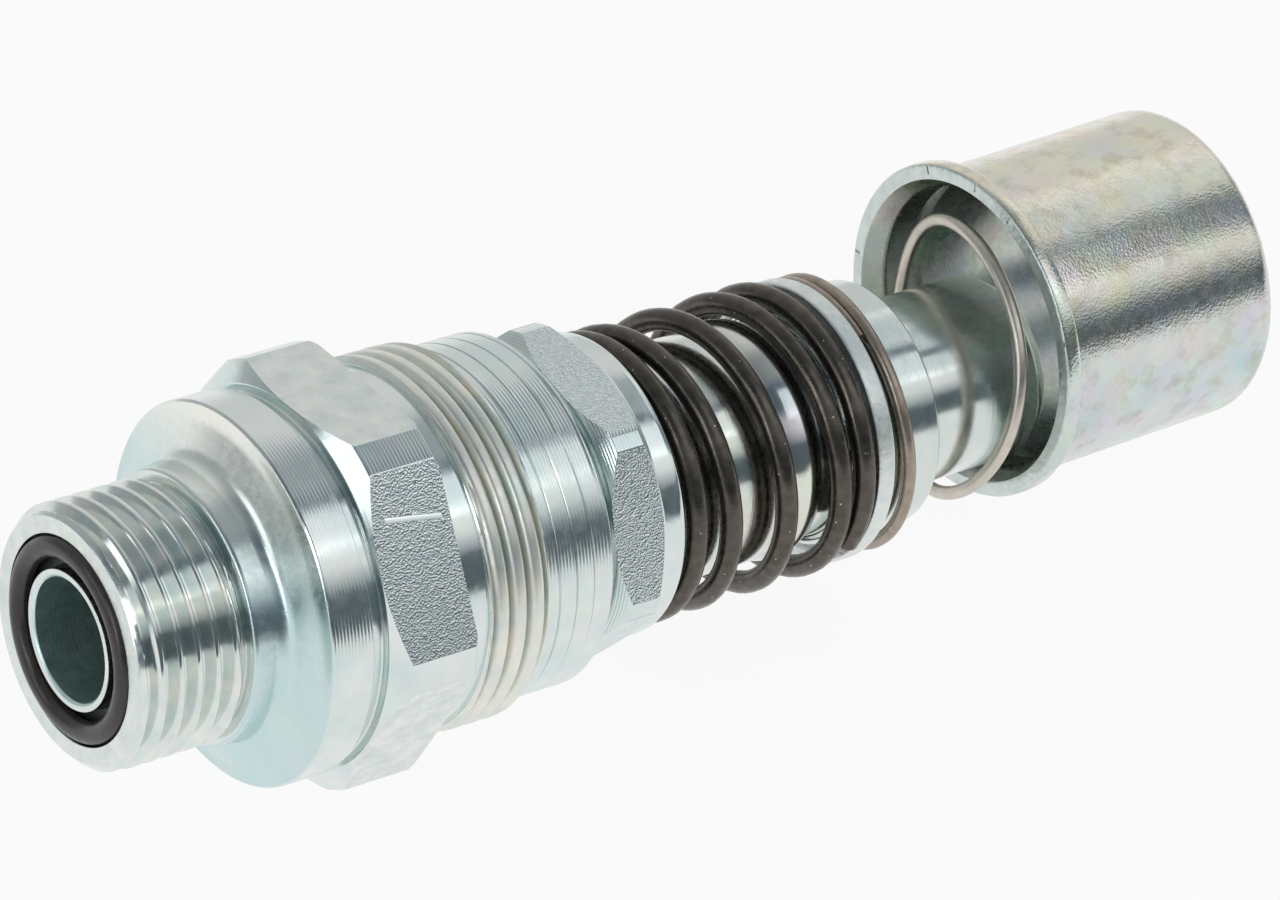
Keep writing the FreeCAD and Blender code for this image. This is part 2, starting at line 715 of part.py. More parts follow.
def make_front_sleeve():
    """Loose front sleeve: rolled lip, lead-in mouth, ring groove and an end wall with its opening."""
    outer_r = sleeve_d / 2
    lip_r = sleeve_lip_d / 2
    bore_r = sleeve_bore_d / 2
    hole_r = sleeve_end_hole_d / 2
    floor = sleeve_len - sleeve_end_wall
    round_r = sleeve_lip_round
    sleeve = lathe([
        (0, sleeve_mouth_d / 2),
        (0, lip_r - round_r),
        *eased((0, lip_r - round_r), (round_r, lip_r)),
        (sleeve_lip_w - round_r, lip_r),
        *eased((sleeve_lip_w - round_r, lip_r), (sleeve_lip_w, lip_r - round_r)),
        (sleeve_lip_w, outer_r + round_r),
        *eased((sleeve_lip_w, outer_r + round_r), (sleeve_lip_w + round_r, outer_r), hollow=True),
        (sleeve_len - sleeve_end_round, outer_r),
        quarter_round((sleeve_len - sleeve_end_round, outer_r), (sleeve_len, outer_r - sleeve_end_round)),
        (sleeve_len, hole_r + round_r),
        (sleeve_len - round_r, hole_r),
        (floor, hole_r),
        (floor, bore_r),
        (sleeve_mouth_w, bore_r),
    ])
    ring_groove = tube(
        sleeve_groove_start, sleeve_groove_start + sleeve_groove_w, sleeve_end_hole_d, sleeve_groove_d)
    sleeve = sleeve.cut(ring_groove)
    sleeve.rotate(ORIGIN, V(0, 1, 0), -sleeve_pitch)
    sleeve.rotate(ORIGIN, V(0, 0, 1), sleeve_yaw)
    sleeve.translate(sleeve_at)
    return sleeve


def make_sleeve_snap_ring():
    """Loose open wire ring that leans round the nozzle's end in front of the sleeve."""
    return leaning_ring(
        loose_at, loose_d, loose_wire, loose_normal, loose_gap_angle, loose_bow, loose_bow_angle)


PIECES = {
    "port_body": make_port_body,
    "face_seal_ring": make_face_seal_ring,
    "guide_nut": make_guide_nut,
    "nut_seal_ring": make_nut_seal_ring,
    "nozzle_seal_ring": make_nozzle_seal_ring,
    "nozzle_backup_ring": make_nozzle_backup_ring,
    "nozzle_guide_ring": make_nozzle_guide_ring,
    "nozzle_wiper_ring": make_nozzle_wiper_ring,
    "nozzle_tube": make_nozzle_tube,
    "nozzle_stop_ring": make_nozzle_stop_ring,
    "main_spring": make_main_spring,
    "spring_seat_washer": make_spring_seat_washer,
    "seat_snap_ring": make_seat_snap_ring,
    "poppet_guide": make_poppet_guide,
    "guide_retaining_ring": make_guide_retaining_ring,
    "poppet_spring": make_poppet_spring,
    "poppet": make_poppet,
    "poppet_seal_ring": make_poppet_seal_ring,
    "front_sleeve": make_front_sleeve,
    "sleeve_snap_ring": make_sleeve_snap_ring,
}


def main():
    """Build every piece and write it to its own file."""
    os.makedirs("parts", exist_ok=True)
    for name, make in PIECES.items():
        shape = make()
        shape.exportStep("parts/" + name + ".step")
        box = shape.BoundBox
        print(name, "valid", shape.isValid(), "solids", len(shape.Solids), "volume", round(shape.Volume, 1),
              "x", round(box.XMin, 2), round(box.XMax, 2), "z", round(box.ZMin, 2), round(box.ZMax, 2))


main()
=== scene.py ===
"""Hydraulic multi-coupler cartridge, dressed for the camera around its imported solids.

Every class holds its sizes in millimetres, measured along the cartridge's axis from the port's sealing
face. Meshes are in metres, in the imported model's own frame: the axis is X and Z is up. Angles about the
axis are in degrees from +Y towards +Z.
"""
import logging
import math
from dataclasses import dataclass
from enum import Enum
from typing import Callable, Sequence

import bpy
from mathutils import Matrix, Vector


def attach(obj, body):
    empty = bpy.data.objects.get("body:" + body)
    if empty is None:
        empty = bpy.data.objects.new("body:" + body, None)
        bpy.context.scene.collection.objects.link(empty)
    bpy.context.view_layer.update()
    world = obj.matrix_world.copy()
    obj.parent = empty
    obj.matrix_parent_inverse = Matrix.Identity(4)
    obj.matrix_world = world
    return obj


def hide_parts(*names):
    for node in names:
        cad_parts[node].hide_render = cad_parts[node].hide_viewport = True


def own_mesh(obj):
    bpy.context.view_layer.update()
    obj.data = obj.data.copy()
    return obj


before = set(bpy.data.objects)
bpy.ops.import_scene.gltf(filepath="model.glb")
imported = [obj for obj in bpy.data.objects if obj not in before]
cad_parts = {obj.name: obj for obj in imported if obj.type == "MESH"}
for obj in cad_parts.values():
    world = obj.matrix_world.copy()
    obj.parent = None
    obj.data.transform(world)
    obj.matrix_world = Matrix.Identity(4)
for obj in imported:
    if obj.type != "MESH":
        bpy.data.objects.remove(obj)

LOG = logging.getLogger("cartridge")
MM = 0.001
TURN = 2 * math.pi
# Facets round the axis of every turned piece, the same on a thread as on the body that carries it
FACETS = 168
# Metres within which points are one, and within which a thread's skin is joined to its body
NEAR = 1e-7
WELD = 2e-6
# Share of the radius added to the place along the axis, so that turning lines run on over shoulders
RADIUS_SHARE = 0.8
# Radius in millimetres at which a streak has its given length
STREAK_RADIUS = 10.0
Corner = tuple[float, ...]
Spot = tuple[float, float]
Spot3 = tuple[float, float, float]
Piece = bpy.types.Object
Tree = bpy.types.NodeTree
Socket = bpy.types.NodeSocket


class Body(Enum):
    """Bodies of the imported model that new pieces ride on."""

    CARTRIDGE = "cartridge"
    NOZZLE = "nozzle"


class Profile(Enum):
    """Shapes of a thread's ridges."""

    SHARP = "straight flanks"
    ROUND = "rounded ridges with narrow valleys"


class Skin(Enum):
    """Surfaces of the cartridge, by the names of their materials."""

    TURNED = "zinc_plate_turned"
    LINED = "zinc_plate_fine_lined"
    BAND = "zinc_plate_soft_lined"
    DISH = "zinc_plate_satin"
    THREAD = "zinc_plate_threaded"
    ROLLED = "zinc_plate_rolled"
    GRANULAR = "zinc_plate_granular"
    BORE = "zinc_plate_bored"
    FACE = "zinc_plate_faced"
    # Dark grey that stands for the shadow in the seal groove: painted shade
    GROOVE = "seal_groove_painted_shade"
    POLISHED = "zinc_plate_polished"
    BRUSHED = "zinc_plate_brushed"
    PRESSED = "zinc_plate_pressed"
    SLEEVE = "zinc_plate_rainbow"
    # Darker tints inside the sleeve: painted shade of the hollow
    INSIDE = "zinc_plate_dull_painted_shade"
    LIP = "zinc_plate_scuffed"
    OILED = "oiled_spring_steel"
    PHOSPHATED = "phosphated_wire"
    BARE = "drawn_bare_wire"
    RUBBER = "nitrile_rubber"
    PTFE = "cut_ptfe"
    BRONZE = "turned_bronze"
    URETHANE = "moulded_polyurethane"


# Modelling tools

def clear_selection() -> None:
    """Deselect every object."""
    bpy.ops.object.select_all(action="DESELECT")


def pick(piece: Piece) -> None:
    """Make one object the only selected and the active one."""
    clear_selection()
    piece.select_set(True)
    bpy.context.view_layer.objects.active = piece


def begin(operator: Callable, **settings) -> Piece:
    """Deselect all and add one object.

    Args:
        operator: The operator that adds it.
        settings: The operator's settings.

    Returns:
        The new object, selected and active.
    """
    clear_selection()
    operator(**settings)
    return bpy.context.object


def settle() -> None:
    """Put the selected object's place, turn and scale into its mesh."""
    bpy.ops.object.transform_apply(location=True, rotation=True, scale=True)


def edit_all() -> None:
    """Enter edit mode with everything selected."""
    bpy.ops.object.mode_set(mode="EDIT")
    bpy.ops.mesh.select_all(action="SELECT")


def close_up() -> None:
    """Merge doubles, point faces outwards and leave edit mode."""
    bpy.ops.mesh.select_all(action="SELECT")
    bpy.ops.mesh.remove_doubles(threshold=NEAR)
    bpy.ops.mesh.normals_make_consistent(inside=False)
    bpy.ops.object.mode_set(mode="OBJECT")


def apply_modifier(piece: Piece, kind: str, **settings) -> None:
    """Add a modifier and apply it.

    Args:
        piece: The object to change.
        kind: Blender's name of the modifier.
        settings: The modifier's settings.
    """
    pick(piece)
    modifier = piece.modifiers.new(kind.lower(), kind)
    for key, value in settings.items():
        setattr(modifier, key, value)
    bpy.ops.object.modifier_apply(modifier=modifier.name)


def eased_outline(corners: Sequence[Corner], steps: int = 4) -> list[Spot]:
    """Round the corners of a closed outline.

    Args:
        corners: Places along the axis, radii and, where a third number is given, the rounding there.
        steps: Spans of each rounding.

    Returns:
        Points of the outline in order.
    """
    # Share of an edge that one corner's rounding may take
    most = 0.48
    spots: list[Spot] = []
    count = len(corners)
    for index, corner in enumerate(corners):
        here = Vector(corner[:2])
        rounding = corner[2] if len(corner) > 2 else 0.0
        if rounding <= 0:
            spots.append((here.x, here.y))
            continue
        back = Vector(corners[index - 1][:2]) - here
        ahead = Vector(corners[(index + 1) % count][:2]) - here
        reach = min(rounding, most * back.length, most * ahead.length)
        back.normalize()
        ahead.normalize()
        for step in range(steps + 1):
            share = step / steps
            spot = here + back * reach * (1 - share) ** 2 + ahead * reach * share ** 2
            spots.append((spot.x, spot.y))
    return spots


def draw_outline(name: str, spots: Sequence[Spot]) -> Piece:
    """Draw a closed outline in the XZ plane by extruding one vertex from point to point.

    Args:
        name: Name of the new object.
        spots: Places along the axis and radii, in millimetres.

    Returns:
        The new object, in edit mode with everything selected.
    """
    piece = begin(bpy.ops.mesh.primitive_plane_add, size=MM)
    piece.name = name
    edit_all()
    bpy.ops.mesh.merge(type="CENTER")
    bpy.ops.transform.translate(value=(spots[0][0] * MM, 0, spots[0][1] * MM))
    for start, end in zip(spots, list(spots[1:]) + [spots[0]]):
        step = ((end[0] - start[0]) * MM, 0, (end[1] - start[1]) * MM)
        bpy.ops.mesh.extrude_region_move(TRANSFORM_OT_translate={"value": step})
    bpy.ops.mesh.select_all(action="SELECT")
    bpy.ops.mesh.remove_doubles(threshold=NEAR)
    return piece


def turned(name: str, spots: Sequence[Spot]) -> Piece:
    """Turn an outline about the X axis, as on a lathe.

    Args:
        name: Name of the new object.
        spots: Closed outline, places along the axis and radii in millimetres.

    Returns:
        The new closed mesh object.
    """
    piece = draw_outline(name, spots)
    bpy.ops.mesh.spin(steps=FACETS, angle=TURN, center=(0, 0, 0), axis=(1, 0, 0))
    close_up()
    return piece


def cut_away(piece: Piece, cutter: Piece) -> None:
    """Take a cutter's volume out of a piece and remove the cutter."""
    apply_modifier(piece, "BOOLEAN", operation="DIFFERENCE", solver="EXACT", object=cutter)
    bpy.data.objects.remove(cutter)


@dataclass(frozen=True)
class Hexagon:
    """Hexagon cut on a turned piece, with its lowest flat facing down before it is turned by its degrees."""

    flats: float
    start: float
    end: float
    waste_radius: float
    turn: float = 0.0
    # How far the waste runs on before the hexagon's start and after its end
    before: float = 0.5
    after: float = 0.5
    rim_facets: int = 96
    # How much longer than the ring of waste its six-sided hole is cut
    proud: float = 2.0

    def waste(self) -> Piece:
        """Return the cutter, a ring of waste outside the hexagon."""
        start = self.start - self.before
        end = self.end + self.after
        length = end - start
        shapes = []
        for sides, radius, depth in ((self.rim_facets, self.waste_radius, length),
                                     (6, self.flats / math.sqrt(3), length + self.proud)):
            shape = begin(
                bpy.ops.mesh.primitive_cylinder_add, vertices=sides, radius=radius * MM, depth=depth * MM)
            shape.rotation_mode = "ZYX"
            shape.rotation_euler = (math.radians(self.turn), math.pi / 2, 0)
            shape.location = ((start + end) / 2 * MM, 0, 0)
            settle()
            shapes.append(shape)
        cut_away(shapes[0], shapes[1])
        return shapes[0]

    def spans(self, middle: Vector) -> bool:
        """Tell whether a face's middle lies between the hexagon's ends."""
        return self.start < middle.x < self.end

    def has_flat(self, middle: Vector, normal: Vector) -> bool:
        """Tell whether a face with the given middle and normal lies on one of the flats."""
        level = abs(normal.x) < 0.01 and abs(normal.dot(middle) - self.flats / 2) < 0.02
        return level and self.spans(middle)


def bar_waste(size: Spot3, place: Matrix) -> Piece:
    """Cutter in the shape of a bar.

    Args:
        size: The bar's length, width and height.
        place: Where the bar lies, with its middle in millimetres.

    Returns:
        The cutter.
    """
    cutter = begin(bpy.ops.mesh.primitive_cube_add, size=MM)
    cutter.scale = size
    cutter.rotation_euler = place.to_euler()
    cutter.location = place.to_translation() * MM
    settle()
    return cutter


@dataclass(frozen=True)
class Thread:
    """Right-hand thread along a stretch of a turned outline.

    The stretch's points run from its start to its end. The valley passes valley_at at valley_angle.
    """

    stretch: tuple[Spot, ...]
    root: float
    valley_at: float
    profile: Profile = Profile.SHARP
    pitch: float = 1.5875
    valley_angle: float = 171.7
    root_flat: float = 0.1
    run_in: float = 0.4
    run_out: float = 0.7
    # How far below the stretch's lowest radius the body's faces still belong to it
    under: float = 0.4
    # The runs close the valley by slightly more than its depth
    closing: float = 1.02
    rows: int = 16

    def blank(self, x: float) -> float:
        """Return the stretch's radius at a place along the axis before the thread is cut."""
        for (near_x, near_r), (far_x, far_r) in zip(self.stretch, self.stretch[1:]):
            if x <= far_x:
                return near_r + (far_r - near_r) * (x - near_x) / (far_x - near_x)
        return self.stretch[-1][1]

    def radius(self, x: float, angle: float) -> float:
        """Radius of the thread.

        Args:
            x: Place along the axis.
            angle: Degrees about the axis.

        Returns:
            The radius there.
        """
        start, end = self.stretch[0][0], self.stretch[-1][0]
        turns = (x - self.valley_at) / self.pitch - (angle - self.valley_angle) / 360
        away = abs(turns - round(turns))
        if self.profile is Profile.ROUND:
            crest = max(radius for _, radius in self.stretch)
            floor = crest - (crest - self.root) * (1 - math.sin(math.pi * away)) ** 2
        else:
            floor = self.root + max(0.0, away * self.pitch - self.root_flat) * math.sqrt(3)
        blank = self.blank(x)
        shut = max(0.0, 1 - (x - start) / self.run_in, 1 - (end - x) / self.run_out)
        return min(blank, floor + shut * max(0.0, blank - self.root) * self.closing)

    def build(self) -> Piece:
        """Lay out the threaded skin.

        No operator gives a helix that also closes on the turned body's rings, so this is done in code: the
        rows follow the helix, so that crests and valleys stay crisp, and stop at the stretch's two ends.

        Returns:
            The skin, an open mesh.
        """
        start, end = self.stretch[0][0], self.stretch[-1][0]
        first = self.valley_at + self.pitch * (90 - self.valley_angle) / 360
        first -= self.pitch * math.ceil((first - start) / self.pitch + 1)
        count = math.ceil((end - first) / self.pitch) * self.rows
        points = []
        for column in range(FACETS):
            angle = 90 + 360 * column / FACETS
            way = math.radians(angle)
            for row in range(count + 1):
                x = first + self.pitch * (row / self.rows + column / FACETS)
                x = min(end, max(start, x))
                radius = self.radius(x, angle)
                points.append((x * MM, radius * math.cos(way) * MM, radius * math.sin(way) * MM))
        faces = []
        for column in range(FACETS):
            last = column == FACETS - 1
            here = column * (count + 1)
            beside = self.rows if last else here + count + 1
            for row in range(count - self.rows if last else count):
                faces.append((here + row, here + row + 1, beside + row + 1, beside + row))
        mesh = bpy.data.meshes.new("thread")
        mesh.from_pydata(points, [], faces)
        skin = bpy.data.objects.new("thread", mesh)
        bpy.context.scene.collection.objects.link(skin)
        return skin

    def fit(self, piece: Piece) -> None:
        """Put the threaded skin in place of a turned body's plain stretch.

        Args:
            piece: The turned body.
        """
        start, end = self.stretch[0][0], self.stretch[-1][0]
        lowest = min(radius for _, radius in self.stretch) - self.under
        edge = 1e-3
        pick(piece)
        bpy.ops.object.mode_set(mode="EDIT")
        bpy.ops.mesh.select_all(action="DESELECT")
        bpy.ops.object.mode_set(mode="OBJECT")
        for face in piece.data.polygons:
            middle = face.center / MM
            inside = start + edge < middle.x < end - edge
            face.select = inside and math.hypot(middle.y, middle.z) > lowest
        bpy.ops.object.mode_set(mode="EDIT")
        bpy.ops.mesh.delete(type="FACE")
        bpy.ops.object.mode_set(mode="OBJECT")
        skin = self.build()
        pick(piece)
        skin.select_set(True)
        bpy.ops.object.join()
        edit_all()
        bpy.ops.mesh.remove_doubles(threshold=WELD)
        bpy.ops.mesh.dissolve_degenerate(threshold=NEAR)
        close_up()


def leaning_spot(centre: Spot3, normal: Spot3, radius: float, angle: float, lift: float) -> Vector:
    """Point of a ring that leans.

    Args:
        centre: The ring's centre.
        normal: The way that the ring faces.
        radius: The ring's radius.
        angle: Degrees round the ring.
        lift: How far the point lies out of the ring's plane.

    Returns:
        The point, in millimetres.
    """
    tilt = Vector((1, 0, 0)).rotation_difference(Vector(normal))
    turn = math.radians(angle)
    return Vector(centre) + tilt @ Vector((lift, radius * math.cos(turn), radius * math.sin(turn)))


def bent_wire(name: str, spots: Sequence[Vector], wire: float, shares: Sequence[float] = ()) -> Piece:
    """Round wire along a line of points, with flat cut ends.

    Args:
        name: Name of the new object.
        spots: Points of the wire's middle, in millimetres.
        wire: Diameter of the wire.
        shares: Share of the diameter at each point, where the wire is tapered.

    Returns:
        The new closed mesh object.
    """
    piece = begin(bpy.ops.curve.primitive_nurbs_path_add)
    piece.name = name
    curve = piece.data
    curve.splines.clear()
    line = curve.splines.new("POLY")
    line.points.add(len(spots) - 1)
    for point, spot in zip(line.points, spots):
        point.co = (spot.x * MM, spot.y * MM, spot.z * MM, 1)
    for point, share in zip(line.points, shares):
        point.radius = share
    curve.bevel_depth = wire / 2 * MM
    curve.bevel_resolution = 5
    curve.use_fill_caps = True
    bpy.ops.object.convert(target="MESH")
    bpy.ops.object.mode_set(mode="EDIT")
    close_up()
    return piece


def complete(piece: Piece, body: Body, node: str, angle: float = 32.0) -> None:
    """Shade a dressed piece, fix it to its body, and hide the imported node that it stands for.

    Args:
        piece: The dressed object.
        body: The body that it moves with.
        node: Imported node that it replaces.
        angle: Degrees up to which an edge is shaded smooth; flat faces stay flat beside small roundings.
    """
    pick(piece)
    bpy.ops.object.shade_smooth_by_angle(angle=math.radians(angle))
    apply_modifier(piece, "WEIGHTED_NORMAL", mode="FACE_AREA", weight=80, keep_sharp=True)
    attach(piece, body.value)
    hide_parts(node)
    LOG.info("%s: %d faces on body %s", piece.name, len(piece.data.polygons), body.value)


# Finishes

def linear(code: str) -> tuple[float, float, float, float]:
    """Turn an sRGB hex colour into linear red, green, blue and alpha."""
    parts = [int(code[place:place + 2], 16) / 255 for place in (1, 3, 5)]
    made = [part / 12.92 if part <= 0.04045 else ((part + 0.055) / 1.055) ** 2.4 for part in parts]
    return (made[0], made[1], made[2], 1.0)


def per_mm(size: float) -> float:
    """Texture scale, per metre, of a pattern with the given size in millimetres."""
    return 1 / (size * MM)


def empty_tree(owner: bpy.types.ID) -> Tree:
    """Give a material or the world an empty node tree and return it."""
    owner.use_nodes = True
    owner.node_tree.nodes.clear()
    return owner.node_tree


def add_node(tree: Tree, kind: str, inputs: dict | None = None, **settings) -> bpy.types.Node:
    """Add a node with its settings, and set or link its inputs.

    Args:
        tree: The node tree.
        kind: Blender's name of the node, without the ShaderNode that it starts with.
        inputs: Values for input sockets, or output sockets to link to them.
        settings: The node's own settings.

    Returns:
        The new node.
    """
    made = tree.nodes.new("ShaderNode" + kind)
    for key, value in settings.items():
        setattr(made, key, value)
    for key, value in (inputs or {}).items():
        socket = made.inputs[key]
        if isinstance(value, Socket):
            tree.links.new(value, socket)
        else:
            socket.default_value = value
    return made


@dataclass(frozen=True)
class Finish:
    """One surface: two tints in soft clouds, and whichever marks its making left on it.

    Sizes and depths are in millimetres. A depth of 0 leaves a mark out, as 0 does for the rainbow's
    strength. The second, lighter tint gathers on the upper side by the given share, between the low and high
    sides: painted light from above.
    """

    tints: tuple[str, str]
    metallic: float = 1.0
    roughness: Spot = (0.18, 0.26)
    sheen: float = 0.7
    cloud: float = 4.0
    painted_light_lean: float = 0.0
    low_side: float = 2.0
    high_side: float = 15.0
    rainbow: float = 0.0
    line: float = 0.3
    line_depth: float = 0.0
    streak: Spot = (0.12, 4.0)
    streak_depth: float = 0.0
    peel: float = 0.6
    peel_depth: float = 0.0
    grain: float = 0.14
    grain_depth: float = 0.0
    cell: float = 0.3
    cell_depth: float = 0.0
    speck: str = ""
    speck_size: float = 0.12
    speck_every: float = 1.2
    stain: str = ""
    stain_size: float = 2.2
    stain_share: float = 0.5

    def build(self, name: str) -> bpy.types.Material:
        """Make the material.

        Args:
            name: The material's name.

        Returns:
            The material.
        """
        material = bpy.data.materials.new(name)
        tree = empty_tree(material)
        place = add_node(tree, "TexCoord").outputs["Object"]
        cloud = add_node(tree, "TexNoise", {"Vector": place, "Scale": per_mm(self.cloud), "Detail": 3.0})
        share = add_node(
            tree, "MapRange",
            {"Value": cloud.outputs["Fac"], "From Min": 0.25, "From Max": 0.75}).outputs["Result"]
        # Painted light: the lighter second tint gathers on the upper side
        if self.painted_light_lean > 0:
            axes = add_node(tree, "SeparateXYZ", {"Vector": place})
            height = add_node(
                tree, "MapRange",
                {"Value": axes.outputs["Z"], "From Min": self.low_side * MM,
                 "From Max": self.high_side * MM})
            share = add_node(tree, "Mix", {0: self.painted_light_lean, 2: share, 3: height.outputs["Result"]}).outputs[0]
        tint = add_node(
            tree, "Mix", {0: share, 6: linear(self.tints[0]), 7: linear(self.tints[1])}, data_type="RGBA")
        colour = self.add_marks(tree, place, tint.outputs[2])
        fine = add_node(tree, "TexNoise", {"Vector": place, "Scale": per_mm(self.sheen), "Detail": 4.0})
        sheen = add_node(
            tree, "MapRange",
            {"Value": fine.outputs["Fac"], "From Min": 0.35, "From Max": 0.65, "To Min": self.roughness[0],
             "To Max": self.roughness[1]})
        shader = add_node(
            tree, "BsdfPrincipled",
            {"Base Color": colour, "Metallic": self.metallic, "Roughness": sheen.outputs["Result"]})
        self.add_relief(tree, place, shader)
        add_node(tree, "OutputMaterial", {"Surface": shader.outputs["BSDF"]})
        return material

    def add_marks(self, tree: Tree, place: Socket, colour: Socket) -> Socket:
        """Lay the passivation's faint hues, thin ragged stains and small specks over the colour.

        Args:
            tree: The material's node tree.
            place: The point on the surface.
            colour: The clouded tint.

        Returns:
            The colour with whichever marks the finish has.
        """
        if self.rainbow > 0:
            hues = add_node(
                tree, "TexNoise",
                {"Vector": place, "Scale": per_mm(self.cloud * 0.7), "Detail": 4.0, "Roughness": 0.55})
            colour = add_node(
                tree, "Mix", {0: self.rainbow, 6: colour, 7: hues.outputs["Color"]}, data_type="RGBA",
                blend_type="OVERLAY").outputs[2]
        if self.stain:
            ragged = add_node(
                tree, "TexNoise",
                {"Vector": place, "Scale": per_mm(self.stain_size), "Detail": 6.0, "Roughness": 0.65})
            share = add_node(
                tree, "MapRange",
                {"Value": ragged.outputs["Fac"], "From Min": 0.5, "From Max": 0.8,
                 "To Max": self.stain_share})
            colour = add_node(
                tree, "Mix", {0: share.outputs["Result"], 6: colour, 7: linear(self.stain)},
                data_type="RGBA").outputs[2]
        if self.speck:
            cells = add_node(
                tree, "TexVoronoi", {"Vector": place, "Scale": per_mm(self.speck_every), "Randomness": 1.0})
            reach = self.speck_size / 2 / self.speck_every
            spot = add_node(
                tree, "MapRange",
                {"Value": cells.outputs["Distance"], "From Min": reach * 0.6, "From Max": reach,
                 "To Min": 1.0, "To Max": 0.0})
            colour = add_node(
                tree, "Mix", {0: spot.outputs["Result"], 6: colour, 7: linear(self.speck)},
                data_type="RGBA").outputs[2]
        return colour

    def add_relief(self, tree: Tree, place: Socket, shader: bpy.types.Node) -> None:
        """Add the marks of turning, brushing, drawing or blasting as fine relief.

        Args:
            tree: The material's node tree.
            place: The point on the surface.
            shader: The shader that takes the relief.
        """
        axes = add_node(tree, "SeparateXYZ", {"Vector": place})
        across = add_node(tree, "CombineXYZ", {"Y": axes.outputs["Y"], "Z": axes.outputs["Z"]})
        radius = add_node(tree, "VectorMath", {0: across.outputs["Vector"]}, operation="LENGTH")
        path = add_node(
            tree, "Math", {0: radius.outputs["Value"], 1: RADIUS_SHARE, 2: axes.outputs["X"]},
            operation="MULTIPLY_ADD").outputs["Value"]
        heights: list[tuple[Socket, float]] = []
        if self.line_depth > 0:
            angle = add_node(tree, "Math", {0: path, 1: TURN * per_mm(self.line)}, operation="MULTIPLY")
            wave = add_node(tree, "Math", {0: angle.outputs["Value"]}, operation="SINE")
            heights.append((wave.outputs["Value"], self.line_depth / 2))
        if self.streak_depth > 0:
            # The seam of the angle lies underneath, along -Z.
            angle = add_node(tree, "Math", {0: axes.outputs["Y"], 1: axes.outputs["Z"]}, operation="ARCTAN2")
            along = add_node(tree, "Math", {0: path, 1: per_mm(self.streak[0])}, operation="MULTIPLY")
            way = add_node(
                tree, "Math", {0: angle.outputs["Value"], 1: STREAK_RADIUS / self.streak[1]},
                operation="MULTIPLY")
            spot = add_node(tree, "CombineXYZ", {"X": along.outputs["Value"], "Y": way.outputs["Value"]})
            streaks = add_node(
                tree, "TexNoise", {"Vector": spot.outputs["Vector"], "Scale": 1.0, "Detail": 3.0})
            heights.append((streaks.outputs["Fac"], self.streak_depth))
        for size, depth in ((self.peel, self.peel_depth), (self.grain, self.grain_depth)):
            if depth > 0:
                bumps = add_node(tree, "TexNoise", {"Vector": place, "Scale": per_mm(size), "Detail": 2.0})
                heights.append((bumps.outputs["Fac"], depth))
        if self.cell_depth > 0:
            cells = add_node(tree, "TexVoronoi", {"Vector": place, "Scale": per_mm(self.cell)})
            heights.append((cells.outputs["Distance"], self.cell_depth))
        normal = None
        for height, depth in heights:
            inputs = {"Height": height, "Distance": depth * MM, "Strength": 1.0}
            if normal is not None:
                inputs["Normal"] = normal
            normal = add_node(tree, "Bump", inputs).outputs["Normal"]
        if normal is not None:
            tree.links.new(normal, shader.inputs["Normal"])


